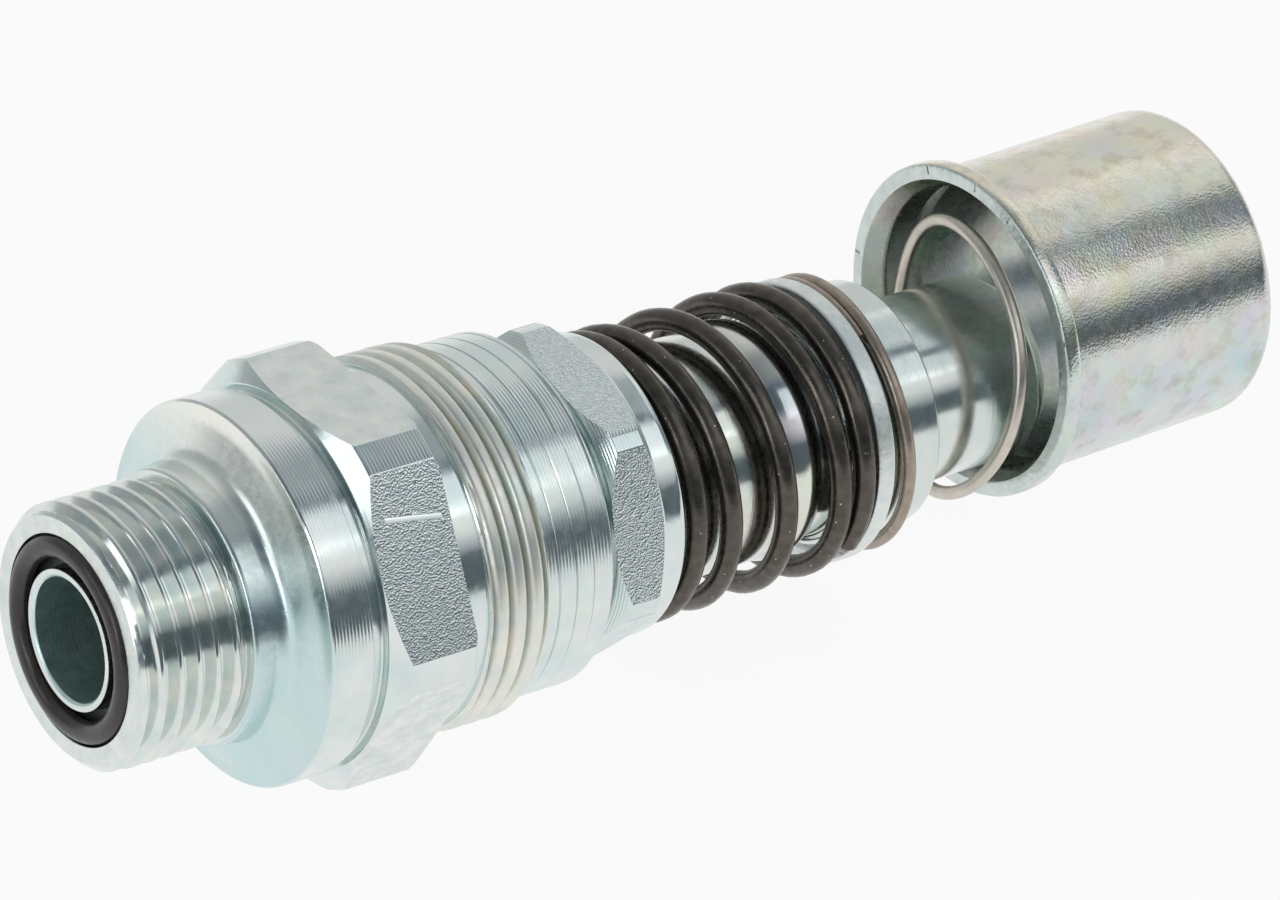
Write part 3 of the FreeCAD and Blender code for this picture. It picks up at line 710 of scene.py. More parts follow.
ZINC = ("#cedddb", "#e4e8e5")
RECIPES: dict[Skin, Finish] = {
    # Zinc plate with a clear blue passivation on smooth turned steel: silver with a breath of teal
    Skin.TURNED: Finish(
        ZINC, roughness=(0.12, 0.2), rainbow=0.2, streak=(0.22, 9.0), streak_depth=0.005, speck="#8a7a66",
        speck_size=0.2, speck_every=9.0),
    # The collar's rim and the hexagon's corners show the tool's feed as even fine lines
    Skin.LINED: Finish(ZINC, roughness=(0.15, 0.22), rainbow=0.2, line_depth=0.012, streak_depth=0.003),
    # The band behind the barrel's thread has the same lines, but a softer sheen
    Skin.BAND: Finish(ZINC, roughness=(0.19, 0.26), rainbow=0.2, line_depth=0.013, streak_depth=0.004),
    # The collar's hollow face and its hub are satin; their tint turns from blue below to a brighter cream
    # towards the top, painted light from above
    Skin.DISH: Finish(
        ("#c2dadc", "#f2f1ea"), painted_light_lean=0.75, low_side=6.0, high_side=12.0, roughness=(0.22, 0.3), cloud=6.0,
        rainbow=0.15, streak=(0.3, 9.0), streak_depth=0.004),
    # The port thread's flanks are bright, with cream-coloured clouds
    Skin.THREAD: Finish(
        ("#cfdbda", "#e9e9e2"), roughness=(0.1, 0.17), rainbow=0.2, cloud=2.0, streak_depth=0.003),
    # The barrel's rolled ridges are a matt cream with a fine grain
    Skin.ROLLED: Finish(
        ("#dce4df", "#f0ede2"), roughness=(0.36, 0.46), rainbow=0.22, cloud=2.4, grain=0.2,
        grain_depth=0.012, streak_depth=0.003),
    # Forged flats: a granular grey that sparkles where a grain faces the light; its pale specks are painted
    # glints
    Skin.GRANULAR: Finish(
        ("#c9d6d8", "#dfe6e4"), roughness=(0.19, 0.27), cloud=0.5, cell=0.17, cell_depth=0.034, grain=0.3,
        grain_depth=0.014, speck="#edf1f0", speck_size=0.18, speck_every=0.3),
    # The bore is dull and lies in shadow
    Skin.BORE: Finish(("#d0e4e1", "#dcecea"), roughness=(0.34, 0.44), line=0.4, line_depth=0.002),
    # The sealing face and the smooth flats are satin, with the scuffs of handling
    Skin.FACE: Finish(
        ("#d0dad7", "#e8ebe7"), roughness=(0.2, 0.36), cloud=1.6, rainbow=0.2, peel=0.5, peel_depth=0.014,
        streak=(0.3, 6.0), streak_depth=0.006),
    # Painted shade: the seal groove is coloured a dark grey that stands for the shadow inside it
    Skin.GROOVE: Finish(("#34383a", "#45494a"), metallic=0.4, roughness=(0.35, 0.5), grain_depth=0.004),
    # The nozzle's barrel is polished, with a faint rainbow
    Skin.POLISHED: Finish(
        ("#d0d6d2", "#dedcd6"), roughness=(0.12, 0.2), cloud=7.0, rainbow=0.35, streak_depth=0.006),
    # Its land and neck are brushed round
    Skin.BRUSHED: Finish(
        ("#cbd6d3", "#dfe3df"), roughness=(0.14, 0.2), streak=(0.25, 12.0), streak_depth=0.005),
    # The pressed washer has a dull, hammered edge
    Skin.PRESSED: Finish(
        ("#d6dfdd", "#e8ebe8"), roughness=(0.36, 0.48), cloud=1.6, peel_depth=0.03, cell=0.25,
        cell_depth=0.014),
    # Drawn sleeve: faint yellow, pink and blue clouds over an orange-peel skin; the warmer, brighter tint
    # gathering towards the top is painted light from above
    Skin.SLEEVE: Finish(
        ("#c7d1d6", "#e8e3d0"), painted_light_lean=0.65, roughness=(0.17, 0.25), cloud=4.6, rainbow=0.42, peel=0.8,
        peel_depth=0.01, cell=0.22, cell_depth=0.011, speck="#8d8a80", speck_size=0.2, speck_every=4.0,
        stain="#a89c78", stain_share=0.7),
    # Inside the sleeve the surface is dull, and its darker tints are painted shade of the hollow
    Skin.INSIDE: Finish(
        ("#aeb5ad", "#c6cdc5"), roughness=(0.24, 0.32), cloud=5.0, rainbow=0.25, streak_depth=0.005),
    # The sleeve's lip is scuffed matt
    Skin.LIP: Finish(("#c2cdca", "#dae2df"), roughness=(0.3, 0.42), cloud=1.2, cell=0.5, cell_depth=0.03),
    # Oiled spring steel is dark brown, half glossy, with dust on the oil
    Skin.OILED: Finish(
        ("#4f4a44", "#68625b"), metallic=0.85, roughness=(0.22, 0.32), cloud=0.9, grain=0.2,
        grain_depth=0.006, speck="#d5cfc6", speck_size=0.16, speck_every=1.1),
    # Phosphated spring wire is a soft brown grey with darker specks
    Skin.PHOSPHATED: Finish(
        ("#978b7f", "#b0a497"), metallic=0.9, roughness=(0.26, 0.36), cloud=0.8, grain_depth=0.005,
        speck="#6b5c4c", speck_size=0.2, speck_every=1.8),
    # Bare drawn wire is a warm, dull silver
    Skin.BARE: Finish(("#c4bdb2", "#d4cec4"), roughness=(0.3, 0.4), cloud=1.2, grain_depth=0.005),
    # Moulded nitrile is a brownish black, half glossy and faintly dusty
    Skin.RUBBER: Finish(
        ("#34302e", "#443f3b"), metallic=0.0, roughness=(0.22, 0.36), cloud=1.2, peel=0.9, peel_depth=0.012,
        speck="#a19a91", speck_every=1.5),
    # Cut PTFE is a waxy off-white
    Skin.PTFE: Finish(("#e2e0d8", "#eceae2"), metallic=0.0, roughness=(0.4, 0.5), grain_depth=0.003),
    # Bearing bronze shows the lines of turning
    Skin.BRONZE: Finish(("#b58a55", "#c69a63"), roughness=(0.24, 0.34), line=0.2, line_depth=0.008),
    # Moulded polyurethane is a dull blue
    Skin.URETHANE: Finish(("#47647f", "#4f6d89"), metallic=0.0, roughness=(0.36, 0.46), grain_depth=0.003)}


class Finishes:
    """All materials of the cartridge, built once."""

    def __init__(self) -> None:
        """Build every material."""
        self.made = {skin: finish.build(skin.value) for skin, finish in RECIPES.items()}

    def dress(self, piece: Piece, *skins: Skin) -> None:
        """Give an object its finishes in order, in place of any that it has."""
        piece.data.materials.clear()
        for skin in skins:
            piece.data.materials.append(self.made[skin])

    def paint(self, piece: Piece, skins: Sequence[Skin], choose: Callable[[Vector, Vector], Skin]) -> None:
        """Give each face one of several finishes.

        Args:
            piece: The object to paint.
            skins: The finishes in order.
            choose: Takes a face's middle in millimetres and its normal, and returns its finish.
        """
        self.dress(piece, *skins)
        for face in piece.data.polygons:
            face.material_index = skins.index(choose(face.center / MM, face.normal))


@dataclass(frozen=True)
class Zone:
    """Part of a turned piece with a finish of its own, between two places along the axis and two radii."""

    skin: Skin
    start: float
    end: float
    inner: float = 0.0
    outer: float = 99.0

    def holds(self, middle: Vector) -> bool:
        """Tell whether a face's middle lies in the zone."""
        radius = math.hypot(middle.y, middle.z)
        return self.start < middle.x < self.end and self.inner < radius < self.outer


# Pieces

@dataclass
class PortEnd:
    """Port body with its threads and large hexagon, and the O-ring in its face."""

    finishes: Finishes
    hexagon: Hexagon = Hexagon(flats=30.0, start=18.2, end=25.2, waste_radius=22.0)
    port_thread: Thread = Thread(
        stretch=((0.12, 9.57), (0.8, 10.25), (8.5, 10.25), (9.0, 9.75)), root=9.34, valley_at=8.93)
    barrel_thread: Thread = Thread(
        stretch=((27.75, 14.25), (28.15, 14.65), (32.75, 14.65), (33.35, 13.85), (39.2, 13.85)), root=13.7,
        valley_at=34.4, profile=Profile.ROUND)
    ring_wire: float = 1.78
    ring_mean: float = 7.11
    ring_centre: float = 0.385
    ring_flatness: float = 0.92
    ring_points: int = 28
    mark_length: float = 5.0
    mark_width: float = 0.46
    mark_depth: float = 0.05
    mark_middle: float = 22.1
    mark_flat: float = 60.0
    mark_offset: float = 3.3
    mark_tilt: float = -9.0
    mark_dip: float = -13.0
    # The first zone that holds a face gives its finish, and what lies in none is turned
    zones: tuple[Zone, ...] = (
        Zone(Skin.BORE, -1.0, 99.0, outer=5.1),
        # The seal groove's faces take the dark grey of painted shade
        Zone(Skin.GROOVE, 0.1, 1.35, 5.46, 8.09),
        Zone(Skin.FACE, -1.0, 1.35, outer=8.09),
        Zone(Skin.FACE, -1.0, 0.15),
        Zone(Skin.THREAD, 0.3, 8.95, 9.2),
        Zone(Skin.ROLLED, 27.8, 33.3, 13.5),
        Zone(Skin.DISH, 9.4, 13.45, 9.8),
        Zone(Skin.BAND, 33.3, 39.25, 13.6),
        Zone(Skin.LINED, 13.6, 17.05, 14.6),
        Zone(Skin.LINED, 19.2, 25.0, 16.3))

    def outline(self) -> list[Spot]:
        """Return the body's turned outline, from the port's bore round to the bore again."""
        return eased_outline([
            (0, 5.0, 0.08), (0, 5.45, 0.08), (1.3, 5.45, 0.15), (1.3, 8.1, 0.15), (0, 8.1, 0.12),
            (0, 9.45, 0.1), self.port_thread.stretch[0], self.port_thread.stretch[-1], (9.25, 9.5, 0.12),
            (9.35, 9.5, 0.05), (9.35, 10.7, 0.42), (12.0, 10.7, 0.95), (12.7, 12.4, 0.8), (13.28, 13.8, 0.7),
            (13.42, 14.72, 0.05), (13.6, 14.9, 0.06), (17.0, 14.9, 0.1), (17.0, 14.25, 0.2),
            (18.2, 14.25, 0.2), (18.2, 14.95, 0.08), (19.25, 16.6, 0.12), (24.9, 16.6, 0.1),
            (25.2, 16.3, 0.1), (25.2, 14.05, 0.35), (27.7, 14.05, 0.25), (27.7, 14.2, 0.02),
            self.barrel_thread.stretch[0], self.barrel_thread.stretch[-1], (39.55, 13.5, 0.08),
            (39.55, 12.25, 0.08), (39.2, 11.9, 0.05), (34.2, 11.9), (33.7, 11.4), (30.0, 11.4), (30.0, 11.0),
            (18.0, 11.0), (18.0, 4.8), (0.2, 4.8, 0.06)])

    def mark_waste(self) -> Piece:
        """Return the cutter of the scored stroke on the camera's flat, a bar that dips on one side."""
        height = self.hexagon.flats / 2 + self.mark_width / 2 - self.mark_depth
        place = Matrix.Translation((self.mark_middle, 0, 0))
        place = place @ Matrix.Rotation(math.radians(self.mark_flat), 4, "X")
        place = place @ Matrix.Translation((0, self.mark_offset, height))
        place = place @ Matrix.Rotation(math.radians(self.mark_tilt), 4, "Z")
        place = place @ Matrix.Rotation(math.radians(self.mark_dip), 4, "X")
        return bar_waste((self.mark_length, self.mark_width, self.mark_width), place)

    def choose_finish(self, middle: Vector, normal: Vector) -> Skin:
        """Choose a body face's finish.

        Args:
            middle: The face's middle.
            normal: The way that it faces.

        Returns:
            The finish.
        """
        if self.hexagon.has_flat(middle, normal):
            # Granular on the flat that faces the camera and on its opposite, smooth on the other four
            return Skin.GRANULAR if normal.y * normal.z < -0.3 else Skin.FACE
        return next((zone.skin for zone in self.zones if zone.holds(middle)), Skin.TURNED)

    def build_body(self) -> None:
        """Turn the body, cut the hexagon and its mark, thread it at both places and dress it."""
        piece = turned("port_body_turned", self.outline())
        cut_away(piece, self.hexagon.waste())
        cut_away(piece, self.mark_waste())
        self.port_thread.fit(piece)
        self.barrel_thread.fit(piece)
        skins = (Skin.TURNED, Skin.LINED, Skin.GRANULAR, Skin.BORE, Skin.THREAD, Skin.GROOVE, Skin.BAND,
                 Skin.FACE, Skin.ROLLED, Skin.DISH)
        self.finishes.paint(piece, skins, self.choose_finish)
        complete(piece, Body.CARTRIDGE, "port_body")

    def build_face_ring(self) -> None:
        """Turn the O-ring's round section about the axis and dress it."""
        spots = []
        for step in range(self.ring_points):
            angle = TURN * step / self.ring_points
            spots.append((self.ring_centre + self.ring_wire / 2 * self.ring_flatness * math.cos(angle),
                          self.ring_mean + self.ring_wire / 2 * math.sin(angle)))
        piece = turned("face_o_ring", spots)
        self.finishes.dress(piece, Skin.RUBBER)
        complete(piece, Body.CARTRIDGE, "face_seal_ring", 60)


@dataclass
class GuideNut:
    """Guide nut with the small hexagon, screwed into the barrel."""

    finishes: Finishes
    hexagon: Hexagon = Hexagon(
        flats=24.0, start=40.85, end=45.4, waste_radius=18.0, turn=12.3, after=0.3)
    lined_from: float = 12.0

    def outline(self) -> list[Spot]:
        """Return the nut's turned outline."""
        return eased_outline([
            (30.0, 9.7), (30.0, 11.35), (31.2, 11.35), (31.2, 10.2), (33.2, 10.2), (33.2, 11.35),
            (34.2, 11.35), (34.25, 11.85), (39.2, 11.85), (39.55, 11.5, 0.1), (40.85, 11.5, 0.12),
            (40.85, 12.15, 0.08), (41.85, 13.4, 0.1), (44.35, 13.4, 0.1), (45.4, 11.95, 0.2),
            (47.7, 11.95, 0.75), (47.7, 9.7, 0.08), (47.3, 9.3), (46.7, 9.3), (46.7, 10.6), (44.9, 10.6),
            (44.9, 9.3), (44.0, 9.3), (44.0, 10.3), (40.8, 10.3), (40.8, 9.3), (38.9, 9.3), (38.9, 10.85),
            (35.5, 10.85), (35.5, 9.3), (30.4, 9.3)])

    def choose_finish(self, middle: Vector, normal: Vector) -> Skin:
        """Choose the finish of a face of the nut.

        Args:
            middle: The face's middle.
            normal: The way that it faces.

        Returns:
            The finish.
        """
        if self.hexagon.has_flat(middle, normal):
            return Skin.GRANULAR
        corner = self.hexagon.spans(middle) and math.hypot(middle.y, middle.z) > self.lined_from
        return Skin.LINED if corner else Skin.TURNED

    def build(self) -> None:
        """Turn the nut, cut its hexagon and dress it."""
        piece = turned("guide_nut_turned", self.outline())
        cut_away(piece, self.hexagon.waste())
        self.finishes.paint(piece, (Skin.TURNED, Skin.LINED, Skin.GRANULAR), self.choose_finish)
        complete(piece, Body.CARTRIDGE, "guide_nut")


@dataclass
class Nozzle:
    """Polished nozzle with its spring seat washer and the wire ring that leans on its land."""

    finishes: Finishes
    barrel: float = 9.25
    dip_start: float = 58.4
    dip_length: float = 1.4
    dip_depth: float = 0.3
    swell_start: float = 59.8
    swell_length: float = 2.6
    swell_height: float = 0.37
    swell_drop: float = 0.05
    land_start: float = 62.4
    ring_wire: float = 1.1
    ring_mean: float = 10.65
    ring_centre: float = 70.4
    ring_normal: Spot3 = (1.0, -0.055, 0.086)
    ring_end: float = 116.0
    ring_overlap: float = 70.0
    ring_tip: float = 0.62
    ring_taper: float = 75.0
    # Degrees at which the ring's first end has come back into its plane, and over which it comes back
    ring_level: float = 300.0
    ring_climb: float = 220.0
    ring_air: float = 0.02
    ring_points: int = 180

    def outline(self) -> list[Spot]:
        """Return the nozzle's turned outline."""
        dip = [(self.dip_start + self.dip_length * step / 8,
                self.barrel - self.dip_depth * math.sin(math.pi * step / 8)) for step in range(9)]
        swell = [(self.swell_start + self.swell_length * step / 10,
                  self.barrel - self.swell_drop * step / 10
                  + self.swell_height * math.sin(math.pi * step / 10)) for step in range(1, 11)]
        return eased_outline([
            (27.4, 7.0), (27.4, 8.85), (27.8, 9.25), (28.25, 9.25), (28.25, 8.75), (29.75, 8.75),
            (29.75, 9.25), *dip, *swell, (62.4, 8.6, 0.3), (65.4, 8.6, 0.3), (65.4, 9.15, 0.1),
            (65.8, 9.55, 0.1), (68.05, 9.55), (68.05, 9.85, 0.05), (73.4, 9.85, 0.25), (73.4, 7.45, 0.4),
            (85.2, 7.45, 0.3), (85.2, 6.75, 0.1), (86.2, 6.75, 0.2), (86.2, 5.2, 0.1), (86.0, 5.0, 0.05),
            (82.2, 5.0), (81.0, 6.2), (54.0, 6.2), (54.0, 6.6), (50.0, 6.6), (50.0, 7.1), (48.9, 7.1),
            (48.9, 6.6), (27.8, 6.6)])

    def build_tube(self) -> None:
        """Turn the nozzle and dress it, polished up to the land and brushed from there on."""
        piece = turned("nozzle_turned", self.outline())
        self.finishes.paint(
            piece, (Skin.POLISHED, Skin.BRUSHED),
            lambda middle, normal: Skin.BRUSHED if middle.x > self.land_start else Skin.POLISHED)
        complete(piece, Body.NOZZLE, "nozzle_tube")

    def build_washer(self) -> None:
        """Turn the washer and dress it."""
        piece = turned("spring_seat_turned", eased_outline([
            (66.4, 9.85), (66.4, 11.25, 0.25), (68.0, 11.25, 0.25), (68.0, 9.6), (66.65, 9.6)]))
        self.finishes.dress(piece, Skin.PRESSED)
        complete(piece, Body.NOZZLE, "spring_seat_washer")

    def build_ring(self) -> None:
        """Bend the wire ring, whose tapered first end lies between its last and the washer, and dress it."""
        spots = []
        shares = []
        for step in range(self.ring_points + 1):
            wound = (360 + self.ring_overlap) * step / self.ring_points
            share = min(1.0, self.ring_tip + (1 - self.ring_tip) * wound / self.ring_taper)
            beside = min(1.0, max(0.0, (self.ring_level - wound) / self.ring_climb))
            lift = -beside * (self.ring_air + self.ring_wire * (1 + share) / 2)
            radius = self.ring_mean + self.ring_wire / 2 * (1 - share)
            shares.append(share)
            spots.append(leaning_spot(
                (self.ring_centre, 0, 0), self.ring_normal, radius, self.ring_end - wound, lift))
        piece = bent_wire("land_ring_wire", spots, self.ring_wire, shares)
        self.finishes.dress(piece, Skin.PHOSPHATED)
        complete(piece, Body.NOZZLE, "seat_snap_ring", 50)


@dataclass
class Spring:
    """Compression spring with closed ends."""

    finishes: Finishes
    skin: Skin
    name: str
    node: str
    slot: str
    body: Body
    joint: str
    start: float
    end: float
    mean: float
    wire: float
    turns: float
    start_at: float
    pushed: float
    closed: float = 1.0
    closed_gap: float = 0.075
    steps: int = 64

    def place(self, turn: float) -> Vector:
        """Place of the wire's middle.

        Args:
            turn: Number of turns from the spring's start.

        Returns:
            The place, in millimetres.
        """
        rise = self.end - self.start - self.wire
        closed_pitch = self.wire + self.closed_gap
        pitch = (rise - 2 * self.closed * closed_pitch) / (self.turns - 2 * self.closed)
        left = self.turns - turn
        if turn <= self.closed:
            x = turn * closed_pitch
        elif left <= self.closed:
            x = rise - left * closed_pitch
        else:
            x = self.closed * closed_pitch + (turn - self.closed) * pitch
        angle = math.radians(self.start_at) + TURN * turn
        x += self.start + self.wire / 2
        return Vector((x, self.mean * math.cos(angle), self.mean * math.sin(angle)))

    def build(self) -> None:
        """Coil the spring, dress it and fix it to its body."""
        count = int(self.turns * self.steps)
        spots = [self.place(self.turns * step / count) for step in range(count + 1)]
        piece = bent_wire(self.name, spots, self.wire)
        self.finishes.dress(piece, self.skin)
        complete(piece, self.body, self.node, 50)
        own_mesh(piece)


@dataclass
class FrontSleeve:
    """Loose front sleeve and its loose wire ring, as they lie at the nozzle's end."""

    finishes: Finishes
    place: Spot3 = (83.3, 1.002, 3.197)
    pitch: float = 1.4
    yaw: float = 0.8
    nick_angles: tuple[float, ...] = (3.0, 65.0, 91.0, 110.0, 157.0)
    nick_width: float = 0.22
    nick_depth: float = 0.1
    nick_length: float = 0.9
    lip_middle: float = 13.2
    lip_depth: float = 0.12
    inside_d: float = 24.8
    inside_start: float = 0.05
    inside_end: float = 20.0
    ring_wire: float = 1.1
    ring_mean: float = 10.75
    ring_gap_at: float = -35.0
    ring_place: Spot3 = (82.15, 0.35, 1.6)
    ring_normal: Spot3 = (1.0, -0.24, -0.11)
    ring_bow: float = 0.65
    ring_bow_at: float = -16.0
    ring_points: int = 144

    def outline(self) -> list[Spot]:
        """Return the sleeve's turned outline, from its mouth."""
        return eased_outline([
            (0, 12.35, 0.1), (0, 13.6, 0.42), (1.5, 13.6, 0.42), (1.5, 12.55, 0.4), (22.0, 12.55, 1.1),
            (22.0, 8.95, 0.15), (21.55, 8.5, 0.15), (19.6, 8.5, 0.1), (19.6, 11.35, 0.3), (5.4, 11.35),
            (5.4, 11.8), (4.0, 11.8), (4.0, 11.35), (1.6, 11.35, 0.3)])

    def choose_finish(self, middle: Vector, normal: Vector) -> Skin:
        """Choose the finish of a face of the sleeve before it is laid in its place.

        Args:
            middle: The face's middle.
            normal: The way that it faces.

        Returns:
            The finish.
        """
        if middle.x < self.lip_depth and normal.x < -0.8:
            return Skin.LIP
        outward = normal.y * middle.y + normal.z * middle.z > 0
        deep = self.inside_start < middle.x < self.inside_end
        deep = deep and math.hypot(middle.y, middle.z) < self.inside_d / 2
        # The inner wall takes the darker tints, painted shade of the hollow
        return Skin.INSIDE if deep and not outward else Skin.SLEEVE

    def build_sleeve(self) -> None:
        """Turn the sleeve, nick its lip, dress it and lay it in its place."""
        piece = turned("front_sleeve_shell", self.outline())
        for angle in self.nick_angles:
            place = Matrix.Rotation(math.radians(angle), 4, "X")
            place = place @ Matrix.Translation((0, self.lip_middle, 0))
            cut_away(piece, bar_waste((2 * self.nick_depth, self.nick_length, self.nick_width), place))
        self.finishes.paint(piece, (Skin.SLEEVE, Skin.INSIDE, Skin.LIP), self.choose_finish)
        pick(piece)
        piece.rotation_euler = (0, math.radians(-self.pitch), math.radians(self.yaw))
        piece.location = Vector(self.place) * MM
        settle()
        complete(piece, Body.NOZZLE, "front_sleeve")

    def build_ring(self) -> None:
        """Bend the loose ring and dress it."""
        half = math.degrees(self.ring_wire / self.ring_mean)
        spots = []
        for step in range(self.ring_points + 1):
            angle = self.ring_gap_at + half + (360 - 2 * half) * step / self.ring_points
            bow = self.ring_bow * math.cos(math.radians(2 * (angle - self.ring_bow_at)))
            spots.append(leaning_spot(self.ring_place, self.ring_normal, self.ring_mean, angle, bow))
        piece = bent_wire("sleeve_ring_wire", spots, self.ring_wire)
        self.finishes.dress(piece, Skin.BARE)
        complete(piece, Body.NOZZLE, "sleeve_snap_ring", 50)


def dress_nodes(finishes: Finishes) -> None:
    """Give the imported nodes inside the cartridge, which stay as they are, their finishes.

    Args:
        finishes: The cartridge's materials.
    """
    chosen = {
        "poppet": Skin.POLISHED, "poppet_guide": Skin.TURNED, "nozzle_stop_ring": Skin.BARE,
        "guide_retaining_ring": Skin.BARE, "nut_seal_ring": Skin.RUBBER, "nozzle_seal_ring": Skin.RUBBER,
        "poppet_seal_ring": Skin.RUBBER, "nozzle_wiper_ring": Skin.URETHANE,
        "nozzle_backup_ring": Skin.PTFE, "nozzle_guide_ring": Skin.BRONZE}
    for name, skin in chosen.items():
        finishes.dress(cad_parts[name], skin)


# Studio

@dataclass(frozen=True)
class SoftBox:
    """Soft box that faces a place along the axis, in metres; its brightness is beside a white of 1."""

    name: str
    place: Spot3
    faces: float
    size: Spot
    brightness: float

    def hang(self) -> None:
        """Hang the soft box, out of the camera's sight."""
        lamp = begin(bpy.ops.object.light_add, type="AREA", location=self.place)
        lamp.name = self.name
        ahead = Vector((self.faces, 0, 0)) - lamp.location
        lamp.rotation_euler = ahead.to_track_quat("-Z", "Y").to_euler()
        lamp.visible_camera = False
        lamp.data.shape = "RECTANGLE"
        lamp.data.size = self.size[0]
        lamp.data.size_y = self.size[1]
        lamp.data.energy = self.brightness * math.pi * self.size[0] * self.size[1]


@dataclass
class Studio:
    """Pale floor, soft light and the camera."""

    camera_at: Spot3 = (-278.408, -410.129, 313.774)
    camera_right: Spot3 = (0.80637, -0.58521, 0.08537)
    camera_up: Spot3 = (0.24231, 0.45861, 0.85496)
    camera_ahead: Spot3 = (0.53949, 0.66873, -0.51162)
    offset_px: Spot = (6.19, 16.96)
    focal_px: float = 8000.0
    width_px: float = 1280.0
    sensor: float = 36.0
    floor_at: Spot = (32.75, -14.67)
    floor_slope: float = 0.0807
    floor_size: float = 8.0
    floor_white: float = 0.92
    floor_glow: float = 0.92
    # Dark card at the front, in metres
    card_at: Spot3 = (0.1, -0.12, 0.0075)
    card_size: Spot = (0.6, 0.075)
    card_grey: str = "#7a858c"
    # Brightness of the sky by its angle about the axis: far wall, overhead, gap, strip light, wall behind
    # the card
    sky: tuple[Spot, ...] = (
        (-180, 0.85), (-90, 0.85), (-10, 0.74), (10, 0.7), (50, 0.76), (62, 0.68), (74, 0.36), (99, 0.36),
        (106, 0.17), (128, 0.17), (133, 0.45), (137, 0.92), (148, 0.92), (152, 0.7), (158, 0.42), (165, 0.25),
        (178, 0.25), (180, 0.85))
    # The sky is dimmer and cooler towards the port's side, which keeps the wires' near sides dark
    port_side: Spot3 = (0.38, 0.43, 0.45)
    side_from: float = -0.8
    side_to: float = 0.3
    # The first soft box whitens the chamfers, and the narrow one draws a line of light along every wire.
    # The last two hang near: the barrel mirrors a wide strip of light, and the sleeve a bright top.
    soft_boxes: tuple[SoftBox, ...] = (
        SoftBox("side_soft_box", (-0.75, 0.12, 0.26), 0.03, (0.55, 0.3), 1.25),
        SoftBox("wire_soft_box", (-0.71, -0.28, 0.22), 0.03, (0.14, 0.5), 4.1),
        SoftBox("barrel_soft_box", (0.101, -0.0697, 0.0977), 0.101, (0.122, 0.0532), 0.78),
        SoftBox("sleeve_soft_box", (0.278, 0.024, 0.198), 0.278, (0.165, 0.154), 0.43))

    def place_camera(self) -> None:
        """Put the camera where the photograph was taken from."""
        lens = bpy.data.cameras.new("camera")
        lens.sensor_width = self.sensor
        lens.lens = self.focal_px / self.width_px * self.sensor
        lens.clip_start = 0.01
        right, up, ahead = (Vector(way) for way in (self.camera_right, self.camera_up, self.camera_ahead))
        across, down = (offset / self.focal_px for offset in self.offset_px)
        ahead = ahead - right * across + up * down
        ahead.normalize()
        right = (right - ahead * right.dot(ahead)).normalized()
        up = right.cross(ahead)
        camera = bpy.data.objects.new("camera", lens)
        turn = Matrix((right, up, -ahead)).transposed().to_4x4()
        camera.matrix_world = Matrix.Translation(Vector(self.camera_at) * MM) @ turn
        bpy.context.scene.collection.objects.link(camera)
        bpy.context.scene.camera = camera

    def lay_floor(self) -> None:
        """Lay the pale floor under the barrel's thread and the sleeve's far end."""
        floor = begin(bpy.ops.mesh.primitive_plane_add, size=self.floor_size)
        floor.name = "floor"
        floor.rotation_euler = (0, -math.atan(self.floor_slope), 0)
        floor.location = (self.floor_at[0] * MM, 0, self.floor_at[1] * MM)
        settle()
        material = bpy.data.materials.new("pale_floor")
        tree = empty_tree(material)
        rays = add_node(tree, "LightPath")
        seen = rays.outputs["Is Camera Ray"]
        for kind in ("Is Glossy Ray", "Is Transmission Ray"):
            most = add_node(tree, "Math", {0: seen, 1: rays.outputs[kind]}, operation="MAXIMUM")
            seen = most.outputs["Value"]
        share = add_node(tree, "Math", {0: seen, 1: self.floor_glow}, operation="MULTIPLY")
        white = (self.floor_white, self.floor_white, self.floor_white, 1)
        matt = add_node(tree, "BsdfDiffuse", {"Color": white})
        glow = add_node(tree, "Emission", {"Color": (1, 1, 1, 1), "Strength": 1.0})
        mixed = add_node(
            tree, "MixShader", {0: share.outputs["Value"], 1: matt.outputs[0], 2: glow.outputs[0]})
        add_node(tree, "OutputMaterial", {"Surface": mixed.outputs[0]})
        floor.data.materials.append(material)

    def stand_card(self) -> None:
        """Stand a dark card on the floor, out of the camera's sight, for the metal's low sides to mirror."""
        card = begin(bpy.ops.mesh.primitive_plane_add, size=1)
        card.name = "dark_card"
        card.scale = (self.card_size[0], self.card_size[1], 1)
        card.rotation_euler = (math.pi / 2, 0, 0)
        card.location = self.card_at
        settle()
        card.visible_camera = False
        card.visible_diffuse = False
        card.visible_shadow = False
        material = bpy.data.materials.new("dark_card")
        tree = empty_tree(material)
        matt = add_node(tree, "BsdfDiffuse", {"Color": linear(self.card_grey)})
        add_node(tree, "OutputMaterial", {"Surface": matt.outputs["BSDF"]})
        card.data.materials.append(material)

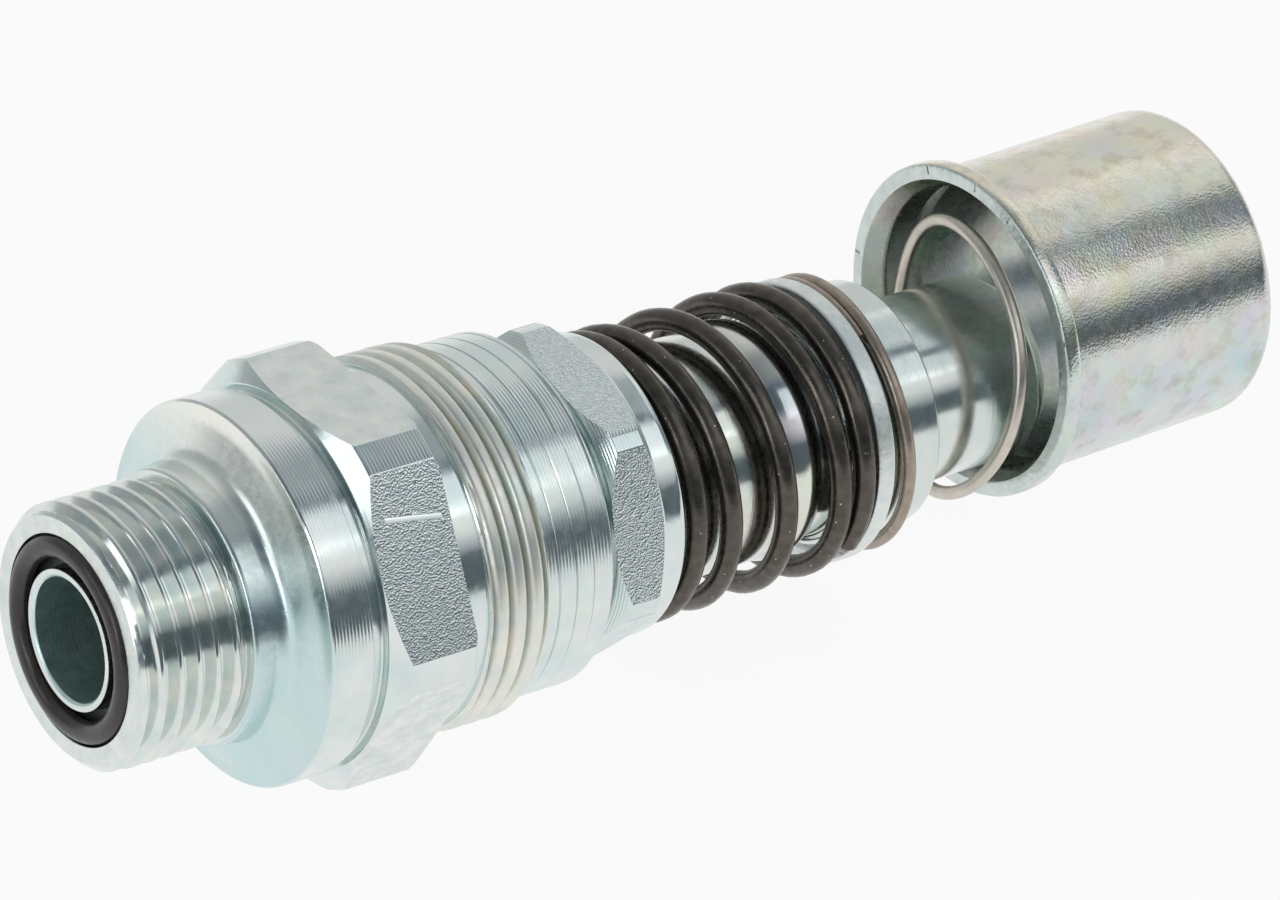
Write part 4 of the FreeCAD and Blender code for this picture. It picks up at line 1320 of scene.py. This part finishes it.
    def light_sky(self) -> None:
        """Light the scene by a soft studio sky whose brightness goes round the cartridge's axis."""
        world = bpy.data.worlds.new("studio")
        bpy.context.scene.world = world
        tree = empty_tree(world)
        way = add_node(tree, "TexCoord").outputs["Generated"]
        axes = add_node(tree, "SeparateXYZ", {"Vector": way})
        angle = add_node(tree, "Math", {0: axes.outputs["Z"], 1: axes.outputs["Y"]}, operation="ARCTAN2")
        round_share = add_node(
            tree, "MapRange", {"Value": angle.outputs["Value"], "From Min": -math.pi, "From Max": math.pi})
        ramp = add_node(tree, "ValToRGB", {"Fac": round_share.outputs["Result"]})
        elements = ramp.color_ramp.elements
        elements.remove(elements[0])
        strongest = max(level for _, level in self.sky)
        for index, (degrees, level) in enumerate(self.sky):
            place = (degrees + 180) / 360
            element = elements[0] if index == 0 else elements.new(place)
            element.position = place
            share = level / strongest
            # The darker a stretch of the sky, the cooler it is
            cool = 1.0 if level > 0.5 else 1.15 if level > 0.3 else 1.45
            element.color = (share, share * (1 + cool) / 2, share * cool, 1)
        away = add_node(
            tree, "MapRange",
            {"Value": axes.outputs["X"], "From Min": self.side_from, "From Max": self.side_to})
        side = add_node(
            tree, "Mix", {0: away.outputs["Result"], 6: (*self.port_side, 1), 7: (1, 1, 1, 1)},
            data_type="RGBA")
        tinted = add_node(
            tree, "Mix", {0: 1.0, 6: ramp.outputs["Color"], 7: side.outputs[2]}, data_type="RGBA",
            blend_type="MULTIPLY")
        light = add_node(tree, "Background", {"Color": tinted.outputs[2], "Strength": strongest})
        add_node(tree, "OutputWorld", {"Surface": light.outputs["Background"]})

    def build(self) -> None:
        """Set up camera, floor and light."""
        self.place_camera()
        self.lay_floor()
        self.stand_card()
        self.light_sky()
        for soft_box in self.soft_boxes:
            soft_box.hang()
        bpy.context.scene.view_settings.view_transform = "Standard"


def main() -> None:
    """Build every piece and the studio."""
    logging.basicConfig(level=logging.INFO, format="%(message)s")
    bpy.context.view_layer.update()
    finishes = Finishes()
    port = PortEnd(finishes)
    port.build_body()
    port.build_face_ring()
    GuideNut(finishes).build()
    nozzle = Nozzle(finishes)
    nozzle.build_tube()
    nozzle.build_washer()
    nozzle.build_ring()
    Spring(finishes, Skin.OILED, "main_spring_coil", "main_spring", "oiled_spring_steel", Body.CARTRIDGE,
           "nozzle_slide", start=47.7, end=66.4, mean=10.75, wire=1.8, turns=4.5, start_at=30,
           pushed=8).build()
    Spring(finishes, Skin.BARE, "poppet_spring_coil", "poppet_spring", "bare_spring_wire", Body.NOZZLE,
           "poppet_slide", start=54.0, end=76.8, mean=4.2, wire=1.0, turns=5, start_at=0, pushed=5,
           steps=40).build()
    sleeve = FrontSleeve(finishes)
    sleeve.build_sleeve()
    sleeve.build_ring()
    dress_nodes(finishes)
    Studio().build()


if __name__ == "__main__":
    main()
